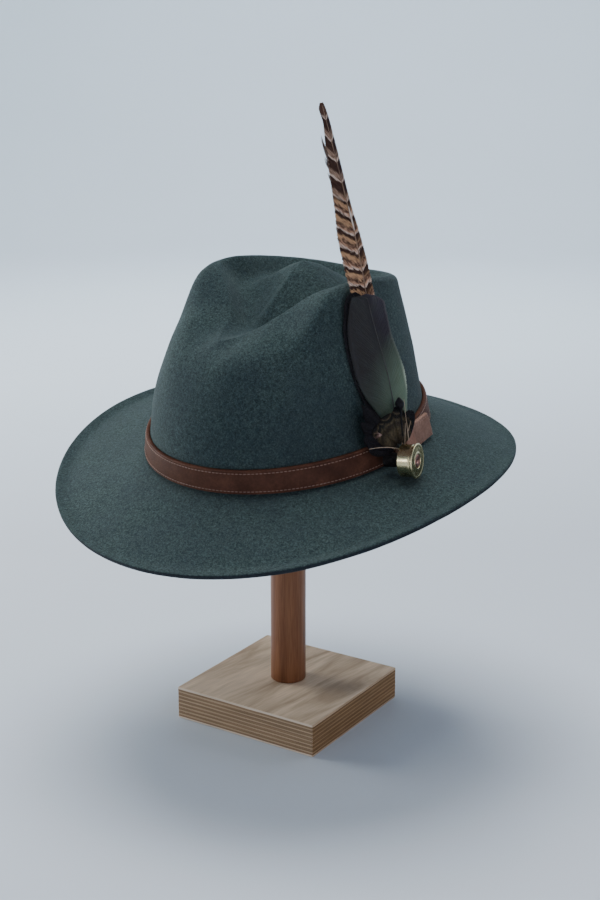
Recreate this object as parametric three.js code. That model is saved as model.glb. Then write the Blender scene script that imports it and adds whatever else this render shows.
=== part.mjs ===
// Felt fedora on a plain wooden display stand.
// Millimetres, +Z up, +X the wearer's left, -Y the front, origin under the middle of the square base.
import * as THREE from "three";

// pose of the hat on the stand, from the middle of the head opening at the brim break
const hatAt = [9.0, -9.2, 211.4];
const hatPitchDeg = 9.2;
const hatRollDeg = 2.6;

// head opening and felt
const headHalfLength = 100.7;
const headHalfWidth = 89.2;
const feltThick = 2.2;
const breakRound = 2.4;
const wallRound = 120;
const edgeProud = 1.0;
const crownAxisY = -3.5;
const dentAxisY = 27;
const turns = 60;

// crown by angle from the front: bulge of the wall, shoulder where the wall turns in over the pinch, crest
// round the dent, groove at its foot and the ridge raised in its middle
const crownColumns = ["angle", "wallBulge", "shoulderScale", "shoulderHigh", "shoulderRound", "crestScale",
  "crestHigh", "crestRound", "grooveScale", "grooveHigh", "ridgeScale", "ridgeHigh"];
const crownRows = [
  [0, 6.0, 0.770, 76, 25, 0.550, 84.5, 8, 0.63, 81.5, 0.15, 108.0],
  [12, 5.5, 0.775, 78, 25, 0.450, 85.2, 6, 0.66, 82, 0.165, 108.0],
  [24, 5.0, 0.765, 82, 25, 0.360, 87.6, 4, 0.72, 83, 0.19, 108.0],
  [38, 5.0, 0.705, 89, 25, 0.315, 91.0, 3, 0.76, 84, 0.21, 108.0],
  [54, 4.6, 0.650, 95.5, 20, 0.326, 95.6, 2.8, 0.76, 85, 0.22, 108.0],
  [70, 4.0, 0.640, 106.5, 11, 0.380, 102.0, 2.8, 0.74, 87, 0.23, 108.0],
  [84, 3.0, 0.652, 112.0, 8, 0.490, 109.0, 3.2, 0.73, 90.5, 0.22, 108.2],
  [95, 2.8, 0.645, 111.5, 7, 0.580, 111.5, 3.5, 0.74, 92.5, 0.21, 108.3],
  [112, 2.4, 0.660, 108.5, 6, 0.615, 110.0, 4, 0.75, 92.5, 0.23, 108.3],
  [146, 1.4, 0.866, 95.5, 9, 0.810, 98.0, 6, 0.72, 88.5, 0.21, 108.1],
  [180, 0.7, 0.860, 91.0, 9, 0.800, 93.0, 7, 0.78, 86.5, 0.23, 107.8]
];
const ridgeTopHigh = 112.8;
const grooveRound = 9;
const ridgeRound = 12;
const bulgeCorner = 1.3;
const cornerRoom = 0.48;
const cornerRiseMost = 4.5;

// on the feather side the shoulder is pressed down and in beside the pinch
const pressedAtDeg = 50;
const pressedWideDeg = 36;
const pressedDown = 12;
const pressedIn = 0.03;

// brim: width across and height of its edge, as a mean and waves round the head
const brimWideWaves = [60.7, 4.8, -2.6];
const brimHighWaves = [-18.3, 1.6, -10.0, 0.3, 0.6];
const brimEdgeLift = 1.4;
const brimLipFrom = 0.86;
const brimCurve = 0.2;
const brimSteps = [1, 0.95, 0.87, 0.7, 0.48, 0.26, 0.08];

// leather strap round the crown, its free end and the loop over it
const strapGap = 0.45;
const strapThick = 2.4;
const strapLow = 0.9;
const strapHigh = 16.2;
const endThick = 2.2;
const endFromDeg = 90;
const endLeavesDeg = 100.5;
const endLong = 25;
const keeperFromDeg = 94.5;
const keeperToDeg = 100.5;
const keeperThick = 1.6;
const keeperProud = 1.2;
const seat = 0.3;

// feathers: each lies on a sheet that leans in over the crown from its root behind the pin
const sheetTwistDeg = -18;
const shaftSlimming = 0.55;
const vaneEdge = 0.8;
const featherColumns = ["along", "frontEdge", "backEdge", "shaft"];
const tailFeather = {
  root: [96.6, -7.9, 6],
  leanDeg: [20.5, 13.5],
  leanOver: 230,
  cup: 0.002,
  thick: 0.9,
  shaftThick: 2.4,
  rows: [
    [4.8, -0.6, 1.6, 0.5],
    [24, -2.6, 4.6, 1.6],
    [48, -3.8, 8.6, 3.4],
    [78, -4.0, 11.4, 5.6],
    [106, -3.6, 13.1, 7.0],
    [124, -4.6, 13.0, 7.9],
    [142, -4.8, 12.0, 8.0],
    [160, -2.7, 10.0, 7.3],
    [181, -1.3, 8.7, 6.2],
    [193, -0.7, 8.0, 5.4],
    [205, 0.6, 7.1, 4.6],
    [214, 1.5, 6.4, 4.0],
    [222, 0.3, 5.2, 3.2],
    [225.6, 1.6, 4.2, 3.0]
  ]
};
const underFeather = {
  root: [99.1, -8.7, 6],
  leanDeg: [20.5, 17.5],
  leanOver: 110,
  cup: 0.002,
  thick: 0.8,
  shaftThick: 1.8,
  rows: [
    [6.9, -0.8, 1.4, 0.3],
    [18, -6.0, 2.8, -0.4],
    [30, -10.4, 4.0, -1.8],
    [42, -14.4, 5.0, -3.2],
    [56, -17.2, 6.0, -4.4],
    [70, -17.9, 7.0, -5.0],
    [84, -17.0, 7.0, -4.6],
    [97, -13.8, 6.0, -3.6],
    [106, -10.0, 2.0, -3.2],
    [109, -6.0, -1.5, -3.8]
  ]
};
const greenFeather = {
  root: [101.2, -9.4, 6],
  leanDeg: [20.5, 17.5],
  leanOver: 110,
  cup: 0.002,
  thick: 0.8,
  shaftThick: 2.0,
  rows: [
    [7.1, 0.4, 3.0, 1.6],
    [16, -1.6, 8.5, 3.0],
    [23, -3.0, 12.6, 4.2],
    [34, -8.0, 16.2, 5.4],
    [44, -13.0, 18.8, 6.2],
    [54, -15.6, 20.0, 6.6],
    [62, -16.4, 19.2, 6.4],
    [70, -16.4, 17.9, 6.0],
    [80, -15.8, 16.5, 5.4],
    [90, -14.0, 16.6, 5.0],
    [99, -10.8, 16.8, 4.7],
    [104, -8.6, 12.0, 4.6],
    [107, -6.5, 5.0, 0]
  ]
};
const hackleFan = {
  root: [103.2, -10.1, 6],
  leanDeg: [14, 5],
  leanOver: 50,
  cup: 0.003,
  thick: 1.0,
  shaftThick: 1.8,
  rows: [
    [6.8, -1.4, 2.6, 0.8],
    [14, -15.5, 6.5, 0.8],
    [21, -23.2, 12.4, 1.2],
    [30, -23.2, 13.6, 1.5],
    [37.5, -21.8, 12.0, 1.6],
    [42.5, -19.0, 6.6, 1.6],
    [44.8, -12.0, 3.0, 1.6]
  ]
};

// brass cartridge head worn as a pin
const rimAt = [116, -9.6, 9.5];
const pinAxisDeg = [15.7, 4.2];
const headLong = 10.5;
const headRadius = 10.25;
const rimRadius = 11.2;
const rimThick = 1.5;
const primerRadius = 4.1;
const extractorGroove = 0.5;
const pocketDeep = 2.2;
const backRadius = 4.6;
const backLong = 14;

// stand
const baseSide = 114;
const baseHigh = 24;
const baseYawDeg = 7.9;
const baseEase = 1.2;
const postRadius = 12.5;
const postTop = 277.9;
const standHeadRadius = 34;
const standHeadHigh = 22;
const standHeadDome = 9;

const rad = Math.PI / 180;

// smooth column of a table round the head, the same on both sides, level at the front and back
function aroundHead(rows, columns, name) {
  const k = columns.indexOf(name);
  const x = rows.map((row) => row[0]);
  const y = rows.map((row) => row[k]);
  const n = x.length;
  const slope = clampedSlopes(x, y);
  return (t) => {
    const a = Math.abs(((t + 540) % 360) - 180);
    let i = 0;
    while (i < n - 2 && a > x[i + 1]) {
      i += 1;
    }
    const h = x[i + 1] - x[i];
    const u = (a - x[i]) / h;
    const keep = (1 + 2 * u) * (1 - u) * (1 - u);
    const gain = u * u * (3 - 2 * u);
    const startPull = u * (1 - u) * (1 - u) * h;
    const endPull = -u * u * (1 - u) * h;
    return keep * y[i] + gain * y[i + 1] + startPull * slope[i] + endPull * slope[i + 1];
  };
}

// slopes of the cubic spline that starts and ends level
function clampedSlopes(x, y) {
  const n = x.length;
  const upper = new Array(n).fill(0);
  const right = new Array(n).fill(0);
  for (let i = 1; i < n - 1; i += 1) {
    const before = x[i] - x[i - 1];
    const after = x[i + 1] - x[i];
    const low = 1 / before;
    const high = 1 / after;
    const rise = 3 * ((y[i] - y[i - 1]) * low * low + (y[i + 1] - y[i]) * high * high);
    const pivot = 2 * (low + high) - low * upper[i - 1];
    upper[i] = high / pivot;
    right[i] = (rise - low * right[i - 1]) / pivot;
  }
  const slope = new Array(n).fill(0);
  for (let i = n - 2; i > 0; i -= 1) {
    slope[i] = right[i] - upper[i] * slope[i + 1];
  }
  return slope;
}

const crownAt = {};
for (const name of crownColumns.slice(1)) {
  crownAt[name] = aroundHead(crownRows, crownColumns, name);
}

function waves(list, t) {
  return list.reduce((sum, value, k) => sum + value * Math.cos(k * t * rad), 0);
}

function headOval(t) {
  return new THREE.Vector3(headHalfWidth * Math.sin(t * rad), -headHalfLength * Math.cos(t * rad), 0);
}

function headNormal(t) {
  const x = headHalfLength * Math.sin(t * rad);
  const y = -headHalfWidth * Math.cos(t * rad);
  return new THREE.Vector3(x, y, 0).normalize();
}

// point scaled from the head oval toward the crown's axis
function crownPoint(t, scale, high, out = 0) {
  const axis = new THREE.Vector3(0, crownAxisY, 0);
  const point = headOval(t).sub(axis).multiplyScalar(scale).add(axis);
  point.addScaledVector(headNormal(t), out);
  point.z = high;
  return point;
}

function dentPoint(t, scale, high) {
  const crest = crownPoint(t, crownAt.crestScale(t), 0);
  const middle = new THREE.Vector3(0, dentAxisY, 0);
  const point = crest.sub(middle).multiplyScalar(scale).add(middle);
  point.z = high;
  return point;
}

function brimPoint(t, share) {
  const wide = waves(brimWideWaves, t);
  const edge = waves(brimHighWaves, t);
  const lift = Math.max(0, (share - brimLipFrom) / (1 - brimLipFrom));
  const point = headOval(t).addScaledVector(headNormal(t), wide * share);
  const drop = (1 - brimCurve) * share + brimCurve * share * share;
  point.z = edge * drop - brimEdgeLift * (share - lift * lift * share);
  return point;
}

// corner rounded by an arc of the given radius, as points along it
function roundedCorner(before, corner, after, radius, steps) {
  const toBefore = before.clone().sub(corner);
  const toAfter = after.clone().sub(corner);
  const room = cornerRoom * Math.min(toBefore.length(), toAfter.length());
  toBefore.normalize();
  toAfter.normalize();
  const half = toBefore.angleTo(toAfter) / 2;
  const reach = Math.min(room, radius / Math.tan(half));
  const r = reach * Math.tan(half);
  const middle = toBefore.clone().add(toAfter).normalize();
  const centre = corner.clone().addScaledVector(middle, r / Math.sin(half));
  const from = corner.clone().addScaledVector(toBefore, reach).sub(centre);
  const to = corner.clone().addScaledVector(toAfter, reach).sub(centre);
  const sweep = from.angleTo(to);
  const points = [];
  for (let i = 0; i <= steps; i += 1) {
    const u = i / steps;
    const a = Math.sin((1 - u) * sweep) / Math.sin(sweep);
    const b = Math.sin(u * sweep) / Math.sin(sweep);
    points.push(centre.clone().addScaledVector(from, a).addScaledVector(to, b));
  }
  return points;
}

// lifts a corner so that its rounded tip passes through the wanted point
function liftedCorner(before, tip, after, radius) {
  const toBefore = before.clone().sub(tip).normalize();
  const toAfter = after.clone().sub(tip).normalize();
  const half = toBefore.angleTo(toAfter) / 2;
  const outward = toBefore.add(toAfter).normalize().negate();
  const rise = Math.min(cornerRiseMost, radius * (1 / Math.sin(half) - 1));
  return tip.clone().addScaledVector(outward, rise);
}

// middle of the wall, between the brim break and the shoulder
function wallMiddle(t) {
  const scale = 1 + (crownAt.shoulderScale(t) - 1) / 2;
  return crownPoint(t, scale, crownAt.shoulderHigh(t) / 2, crownAt.wallBulge(t) * bulgeCorner);
}

// share of the pressed-in shoulder at an angle
function pressed(t) {
  const away = Math.abs(((t - pressedAtDeg + 540) % 360) - 180) / pressedWideDeg;
  return away < 1 ? Math.cos((away * Math.PI) / 2) ** 2 : 0;
}

// outside of the felt from the brim edge over the crest and down into the dent, at one angle
function feltProfile(t) {
  const press = pressed(t);
  const shoulderScale = crownAt.shoulderScale(t) - pressedIn * press;
  const foot = crownPoint(t, 1, 0);
  const wall = wallMiddle(t);
  const shoulder = crownPoint(t, shoulderScale, crownAt.shoulderHigh(t) - pressedDown * press);
  const groove = dentPoint(t, crownAt.grooveScale(t), crownAt.grooveHigh(t));
  const ridge = dentPoint(t, crownAt.ridgeScale(t), crownAt.ridgeHigh(t));
  const middle = dentPoint(t, 0, ridgeTopHigh);
  const tip = crownPoint(t, crownAt.crestScale(t), crownAt.crestHigh(t));
  const crest = liftedCorner(shoulder, tip, groove, crownAt.crestRound(t));
  const rows = brimSteps.map((share) => brimPoint(t, share));
  rows.push(...roundedCorner(rows[rows.length - 1], foot, wall, breakRound, 2));
  rows.push(...roundedCorner(foot, wall, shoulder, wallRound, 2));
  rows.push(...roundedCorner(wall, shoulder, crest, crownAt.shoulderRound(t), 3));
  rows.push(...roundedCorner(shoulder, crest, groove, crownAt.crestRound(t), 4));
  rows.push(...roundedCorner(crest, groove, ridge, grooveRound, 3));
  rows.push(...roundedCorner(groove, ridge, middle, ridgeRound, 2));
  return rows;
}

function feltSkin() {
  const outside = [];
  for (let i = 0; i < turns; i += 1) {
    outside.push(feltProfile((i * 360) / turns));
  }
  const middle = dentPoint(0, 0, ridgeTopHigh);
  const count = outside[0].length;
  const inside = outside.map((profile, i) => profile.map((point, j) => {
    const ahead = outside[(i + 1) % turns][j];
    const behind = outside[(i + turns - 1) % turns][j];
    const up = profile[Math.min(j + 1, count - 1)];
    const down = profile[Math.max(j - 1, 0)];
    const normal = ahead.clone().sub(behind).cross(up.clone().sub(down)).normalize();
    return point.clone().addScaledVector(normal, -feltThick);
  }));
  return { outside, inside, middle, count };
}

function solid(points, faces) {
  const shape = new THREE.BufferGeometry();
  const flat = [];
  for (const point of points) {
    flat.push(point.x, point.y, point.z);
  }
  shape.setAttribute("position", new THREE.Float32BufferAttribute(flat, 3));
  shape.setIndex(faces);
  return shape;
}

function crownAndBrim() {
  const { outside, inside, middle, count } = feltSkin();
  const points = [];
  const faces = [];
  const edge = [];
  for (let i = 0; i < turns; i += 1) {
    const t = (i * 360) / turns;
    const round = outside[i][0].clone().add(inside[i][0]).multiplyScalar(0.5);
    edge.push(round.addScaledVector(headNormal(t), edgeProud));
  }
  for (let i = 0; i < turns; i += 1) {
    points.push(...outside[i], edge[i], ...inside[i]);
  }
  const stride = 2 * count + 1;
  const top = points.length;
  points.push(middle.clone(), middle.clone().setZ(middle.z - feltThick));
  for (let i = 0; i < turns; i += 1) {
    const a = i * stride;
    const b = ((i + 1) % turns) * stride;
    for (let j = 0; j < count - 1; j += 1) {
      faces.push(a + j, b + j, b + j + 1, a + j, b + j + 1, a + j + 1);
      const c = a + count + 1 + j;
      const d = b + count + 1 + j;
      faces.push(c, d + 1, d, c, c + 1, d + 1);
    }
    faces.push(a + count - 1, b + count - 1, top);
    faces.push(b + stride - 1, a + stride - 1, top + 1);
    faces.push(a, a + count, b + count, a, b + count, b);
    faces.push(a + count, a + count + 1, b + count + 1, a + count, b + count + 1, b + count);
  }
  return solid(points, faces);
}

// closed strip lofted through sections that share their count of points
function loft(sections, closed) {
  const size = sections[0].length;
  const points = sections.flat();
  const faces = [];
  const last = closed ? sections.length : sections.length - 1;
  for (let i = 0; i < last; i += 1) {
    const a = i * size;
    const b = ((i + 1) % sections.length) * size;
    for (let j = 0; j < size; j += 1) {
      const k = (j + 1) % size;
      faces.push(a + j, a + k, b + k, a + j, b + k, b + j);
    }
  }
  if (!closed) {
    const end = (sections.length - 1) * size;
    for (let j = 1; j < size - 1; j += 1) {
      faces.push(0, j + 1, j);
      faces.push(end, end + j, end + j + 1);
    }
  }
  return solid(points, faces);
}

// outside of the wall at a height, moved out along the head's normal
function wallPoint(t, high, out) {
  const share = high / (crownAt.shoulderHigh(t) / 2);
  const scale = 1 + ((crownAt.shoulderScale(t) - 1) / 2) * share;
  return crownPoint(t, scale, high, crownAt.wallBulge(t) * bulgeCorner * share + out);
}

// leather section: inner face, then an outer face with its edges eased
function strapSection(t, low, high, out, thick) {
  const ease = Math.min(0.5, thick * 0.3);
  return [
    wallPoint(t, low, out),
    wallPoint(t, low, out + thick - ease),
    wallPoint(t, low + ease, out + thick),
    wallPoint(t, high - ease, out + thick),
    wallPoint(t, high, out + thick - ease),
    wallPoint(t, high, out)
  ];
}

function hatBand() {
  const sections = [];
  for (let i = 0; i < turns; i += 1) {
    sections.push(strapSection((i * 360) / turns, strapLow, strapHigh, strapGap, strapThick));
  }
  return loft(sections.reverse(), true);
}

function bandEnd() {
  const out = strapGap + strapThick + seat;
  const sections = [];
  for (let i = 0; i <= 4; i += 1) {
    const t = endFromDeg + ((endLeavesDeg - endFromDeg) * i) / 4;
    sections.push(strapSection(t, strapLow, strapHigh, out, endThick));
  }
  const leave = sections[4];
  const along = leave[0].clone().sub(sections[3][0]).setZ(0).normalize();
  for (const step of [0.2, 0.6, 1]) {
    sections.push(leave.map((point) => point.clone().addScaledVector(along, endLong * step)));
  }
  return loft(sections.reverse(), false);
}

function bandKeeper() {
  const out = strapGap + strapThick + seat + endThick + seat;
  const sections = [];
  for (let i = 0; i <= 3; i += 1) {
    const t = keeperFromDeg + ((keeperToDeg - keeperFromDeg) * i) / 3;
    sections.push(strapSection(t, strapLow - keeperProud * 0.4, strapHigh + keeperProud, out, keeperThick));
  }
  return loft(sections.reverse(), false);
}

// frame of a feather's sheet at a distance along it
function sheetAt(feather, along) {
  const twist = sheetTwistDeg * rad;
  const outward = new THREE.Vector3(Math.cos(twist), Math.sin(twist), 0);
  const across = new THREE.Vector3(-Math.sin(twist), Math.cos(twist), 0);
  const [from, to] = feather.leanDeg;
  const steps = 40;
  const point = new THREE.Vector3(...feather.root);
  let lean = from * rad;
  for (let i = 0; i < steps; i += 1) {
    const s = (along * (i + 0.5)) / steps;
    lean = (from + ((to - from) * s) / feather.leanOver) * rad;
    point.addScaledVector(outward, (-Math.sin(lean) * along) / steps);
    point.z += (Math.cos(lean) * along) / steps;
  }
  const face = outward.clone().multiplyScalar(Math.cos(lean));
  face.z = Math.sin(lean);
  return { point, across, face };
}

function named(row, columns) {
  return Object.fromEntries(columns.map((name, k) => [name, row[k]]));
}

function featherSection(feather, row) {
  const { along, frontEdge, backEdge, shaft } = named(row, featherColumns);
  const { point, across, face } = sheetAt(feather, along);
  const last = feather.rows[feather.rows.length - 1][0];
  const first = feather.rows[0][0];
  const slim = 1 - shaftSlimming * ((along - first) / (last - first));
  const half = feather.thick / 2;
  const spine = Math.max(half, (feather.shaftThick / 2) * slim);
  const stops = [
    [frontEdge, half * vaneEdge],
    [(frontEdge + shaft) / 2, half],
    [shaft, spine],
    [(backEdge + shaft) / 2, half],
    [backEdge, half * vaneEdge]
  ];
  const place = (v, e) => {
    const bend = feather.cup * (v - shaft) * (v - shaft);
    return point.clone().addScaledVector(across, v).addScaledVector(face, e - bend);
  };
  const outer = stops.map(([v, e]) => place(v, e));
  const inner = stops.map(([v, e]) => place(v, -e)).reverse();
  return [...inner, ...outer];
}

function featherVane(feather) {
  return loft(feather.rows.map((row) => featherSection(feather, row)), false);
}

// turned piece about +Z, closed on its axis, from radius and height pairs
function turned(profile, sides) {
  const outline = profile.map(([r, z]) => new THREE.Vector2(r, z));
  const shape = new THREE.LatheGeometry(outline, sides);
  shape.rotateX(Math.PI / 2);
  return shape;
}

function alongPinAxis(shape, back) {
  const around = pinAxisDeg[0] * rad;
  const rise = pinAxisDeg[1] * rad;
  const flat = Math.cos(rise);
  const axis = new THREE.Vector3(Math.cos(around) * flat, Math.sin(around) * flat, Math.sin(rise));
  const turn = new THREE.Quaternion().setFromUnitVectors(new THREE.Vector3(0, 0, 1), axis);
  shape.applyQuaternion(turn);
  const at = new THREE.Vector3(...rimAt).addScaledVector(axis, -back);
  shape.translate(at.x, at.y, at.z);
  return shape;
}

function cartridgeHead() {
  const rimFrom = headLong - rimThick;
  const pocket = primerRadius + seat;
  const profile = [
    [0, 0],
    [headRadius - 0.4, 0],
    [headRadius, 0.4],
    [headRadius, rimFrom - 1.4],
    [headRadius - extractorGroove, rimFrom - 1.0],
    [headRadius - extractorGroove, rimFrom - 0.3],
    [rimRadius, rimFrom],
    [rimRadius, headLong - 0.5],
    [rimRadius - 0.5, headLong],
    [pocket + 0.6, headLong],
    [pocket, headLong - 0.4],
    [pocket, headLong - pocketDeep],
    [0, headLong - pocketDeep]
  ];
  return alongPinAxis(turned(profile, 40), headLong);
}

function primer() {
  const high = pocketDeep - seat;
  const profile = [
    [0, 0],
    [primerRadius - 0.3, 0],
    [primerRadius, 0.3],
    [primerRadius, high - 0.5],
    [primerRadius - 0.5, high],
    [2.9, high],
    [2.6, high - 0.5],
    [1.4, high - 0.4],
    [0, high - 0.9]
  ];
  return alongPinAxis(turned(profile, 24), pocketDeep - seat);
}

function pinBack() {
  const profile = [[0, 0], [backRadius - 1, 0], [backRadius, 1], [backRadius, backLong], [0, backLong]];
  return alongPinAxis(turned(profile, 20), headLong + seat + backLong);
}

function standBase() {
  const half = baseSide / 2 - baseEase;
  const outline = new THREE.Shape();
  outline.moveTo(-half, -half);
  outline.lineTo(half, -half);
  outline.lineTo(half, half);
  outline.lineTo(-half, half);
  outline.closePath();
  const shape = new THREE.ExtrudeGeometry(outline, {
    depth: baseHigh - 2 * baseEase,
    bevelEnabled: true,
    bevelThickness: baseEase,
    bevelSize: baseEase,
    bevelSegments: 2
  });
  shape.translate(0, 0, baseEase);
  shape.rotateZ(baseYawDeg * rad);
  return shape;
}

function standPost() {
  const low = baseHigh + seat;
  return turned([[0, low], [postRadius, low], [postRadius, postTop], [0, postTop]], 40);
}

function standHead() {
  const low = postTop + seat;
  const side = standHeadHigh - standHeadDome;
  const ease = 2;
  const profile = [
    [0, low],
    [standHeadRadius - ease, low],
    [standHeadRadius, low + ease],
    [standHeadRadius, low + side]
  ];
  for (let i = 1; i <= 5; i += 1) {
    const u = i / 5;
    const rise = standHeadDome * Math.sin(u * 90 * rad);
    profile.push([standHeadRadius * Math.cos(u * 90 * rad), low + side + rise]);
  }
  profile[profile.length - 1][0] = 0;
  return turned(profile, 40);
}

const looks = {
  felt: { color: 0x24403b, roughness: 0.95 },
  leather: { color: 0x6b3f28, roughness: 0.6 },
  barred: { color: 0xa8835c, roughness: 0.8 },
  green: { color: 0x3c4a44, roughness: 0.7 },
  dark: { color: 0x1d1b1f, roughness: 0.7 },
  brass: { color: 0xb9a468, roughness: 0.3, metalness: 1 },
  copper: { color: 0xa86b4e, roughness: 0.35, metalness: 1 },
  birch: { color: 0xcdb48c, roughness: 0.7 },
  beech: { color: 0x9a6238, roughness: 0.6 }
};

const hatPose = new THREE.Matrix4().makeRotationX(hatPitchDeg * rad)
  .multiply(new THREE.Matrix4().makeRotationY(hatRollDeg * rad))
  .setPosition(...hatAt);

const hat = new THREE.Group();

function add(name, shape, look, onHat) {
  if (onHat) {
    shape.applyMatrix4(hatPose);
  }
  shape.computeVertexNormals();
  const mesh = new THREE.Mesh(shape, new THREE.MeshStandardMaterial(looks[look]));
  mesh.name = name;
  hat.add(mesh);
}

add("crown_and_brim", crownAndBrim(), "felt", true);
add("hat_band", hatBand(), "leather", true);
add("band_end", bandEnd(), "leather", true);
add("band_keeper", bandKeeper(), "leather", true);
add("tail_feather", featherVane(tailFeather), "barred", true);
add("under_feather", featherVane(underFeather), "dark", true);
add("green_feather", featherVane(greenFeather), "green", true);
add("hackle_fan", featherVane(hackleFan), "dark", true);
add("cartridge_head", cartridgeHead(), "brass", true);
add("primer", primer(), "copper", true);
add("pin_back", pinBack(), "dark", true);
add("stand_base", standBase(), "birch", false);
add("stand_post", standPost(), "beech", false);
add("stand_head", standHead(), "beech", false);

export default hat;
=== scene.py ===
# Wool felt fedora with a leather strap, feathers and a brass cartridge-head pin, on its wooden display stand.
# Lengths in the dictionaries are in millimetres, but in metres for the floor, the lamps and the camera.
# The hat's own frame has its middle at the brim break, +X the wearer's left and -Y the front, and hatPose
# puts it on the stand.
import math
import random

import bpy
import numpy as np
from mathutils import Matrix, Vector, noise


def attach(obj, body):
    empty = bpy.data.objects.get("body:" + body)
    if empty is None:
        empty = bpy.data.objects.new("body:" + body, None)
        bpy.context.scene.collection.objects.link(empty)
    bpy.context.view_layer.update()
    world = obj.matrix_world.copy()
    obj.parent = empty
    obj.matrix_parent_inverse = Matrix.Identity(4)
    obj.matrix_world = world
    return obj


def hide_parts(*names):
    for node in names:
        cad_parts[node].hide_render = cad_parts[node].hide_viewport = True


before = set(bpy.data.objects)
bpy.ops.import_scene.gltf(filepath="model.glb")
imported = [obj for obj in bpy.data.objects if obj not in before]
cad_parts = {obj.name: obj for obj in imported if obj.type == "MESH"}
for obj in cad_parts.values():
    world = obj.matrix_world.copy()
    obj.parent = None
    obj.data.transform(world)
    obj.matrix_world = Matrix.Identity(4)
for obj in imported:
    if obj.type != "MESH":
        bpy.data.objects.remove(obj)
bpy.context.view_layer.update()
mm = 0.001

hatPose = {"at": (9.0, -9.2, 211.4), "pitchDeg": 9.2, "rollDeg": 2.6}

head = {"halfLength": 100.7, "halfWidth": 89.2, "crownAxisY": -3.5, "dentAxisY": 27.0}


# small tools for meshes


def unit(v):
    return v / np.maximum(np.linalg.norm(v, axis=-1, keepdims=True), 1e-9)


def poseMatrix():
    turnX = Matrix.Rotation(math.radians(hatPose["pitchDeg"]), 4, "X")
    turnY = Matrix.Rotation(math.radians(hatPose["rollDeg"]), 4, "Y")
    return Matrix.Translation(Vector(hatPose["at"])) @ turnX @ turnY


def onHat(points):
    m = np.array(poseMatrix())
    return points @ m[:3, :3].T + m[:3, 3]


def makePiece(name, points, faces, material, nodes=(), onTheHat=True, uvs=None, smooth=True):
    points = np.asarray(points, float)
    if onTheHat:
        points = onHat(points)
    mesh = bpy.data.meshes.new(name)
    mesh.from_pydata((points * mm).tolist(), [], faces)
    if uvs is not None:
        layer = mesh.uv_layers.new(name="alongAndAcross")
        index = np.empty(len(mesh.loops), dtype=np.int32)
        mesh.loops.foreach_get("vertex_index", index)
        layer.data.foreach_set("uv", np.asarray(uvs, np.float32)[index].ravel())
    mesh.polygons.foreach_set("use_smooth", [smooth] * len(mesh.polygons))
    mesh.materials.append(material)
    mesh.update()
    piece = bpy.data.objects.new(name, mesh)
    bpy.context.scene.collection.objects.link(piece)
    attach(piece, "root")
    if nodes:
        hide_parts(*nodes)


class Heap:
    # gathers many small closed forms into one mesh
    def __init__(self):
        self.points = []
        self.faces = []
        self.uvs = []

    def add(self, points, faces, uvs=None):
        start = len(self.points)
        self.points.extend(points)
        self.faces.extend([tuple(k + start for k in face) for face in faces])
        if uvs is not None:
            self.uvs.extend(uvs)


def loftFaces(count, size, closed=False, turned=False):
    # faces between rings of equal size, with flat ends unless the last ring meets the first
    faces = []
    for i in range(count if closed else count - 1):
        a = i * size
        b = ((i + 1) % count) * size
        for j in range(size):
            k = (j + 1) % size
            faces.append((a + j, a + k, b + k, b + j))
    if not closed:
        end = (count - 1) * size
        faces.append(tuple(range(size - 1, -1, -1)))
        faces.append(tuple(range(end, end + size)))
    return [face[::-1] for face in faces] if turned else faces


def woven(columns):
    # lists of points side by side as one list, ring after ring
    joined = np.stack(columns, axis=1)
    return joined.reshape(-1, joined.shape[-1])


def tube(path, radii, sides=6):
    # round closed tube along a path, with one radius per point
    path = np.asarray(path, float)
    along = unit(np.gradient(path, axis=0))
    guess = np.array([0.0, 0.0, 1.0]) if abs(along[0][2]) < 0.9 else np.array([1.0, 0.0, 0.0])
    points = []
    for p, d, r in zip(path, along, radii):
        side = unit(np.cross(d, guess))
        up = np.cross(side, d)
        for k in range(sides):
            a = 2 * math.pi * k / sides
            points.append(p + r * (math.cos(a) * side + math.sin(a) * up))
    return points, loftFaces(len(path), sides, turned=True)


def softNoise(points, size, seed):
    shift = Vector((seed * 17.3, seed * 5.1, seed * 9.7))
    return np.array([noise.noise(Vector(p) / size + shift) for p in points])


# small tools for materials


def newMaterial(name, values):
    material = bpy.data.materials.new(name)
    material.use_nodes = True
    shader = material.node_tree.nodes["Principled BSDF"]
    for key, value in values.items():
        shader.inputs[key].default_value = value
    return material, material.node_tree, shader


def node(tree, kind, **settings):
    made = tree.nodes.new(kind)
    for key, value in settings.items():
        setattr(made, key, value)
    return made


def splitVector(tree, vector):
    made = node(tree, "ShaderNodeSeparateXYZ")
    tree.links.new(vector, made.inputs[0])
    return made.outputs


def place(tree, scale=(1, 1, 1), turn=(0, 0, 0)):
    coords = node(tree, "ShaderNodeTexCoord")
    mapping = node(tree, "ShaderNodeMapping")
    mapping.inputs["Scale"].default_value = scale
    mapping.inputs["Rotation"].default_value = turn
    tree.links.new(coords.outputs["Object"], mapping.inputs["Vector"])
    return mapping.outputs["Vector"]


def grain(tree, vector, scale, detail=2.0, rough=0.5, warp=0.0):
    made = node(tree, "ShaderNodeTexNoise")
    made.inputs["Scale"].default_value = scale
    made.inputs["Detail"].default_value = detail
    made.inputs["Roughness"].default_value = rough
    made.inputs["Distortion"].default_value = warp
    tree.links.new(vector, made.inputs["Vector"])
    return made.outputs["Fac"]


def math2(tree, operation, a, b=0.0, c=0.0, clamp=False):
    made = node(tree, "ShaderNodeMath", operation=operation, use_clamp=clamp)
    for k, value in enumerate((a, b, c)):
        if isinstance(value, (int, float)):
            made.inputs[k].default_value = value
        else:
            tree.links.new(value, made.inputs[k])
    return made.outputs[0]


def plus(tree, a, b):
    return math2(tree, "ADD", a, b)


def minus(tree, a, b):
    return math2(tree, "SUBTRACT", a, b)


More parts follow.
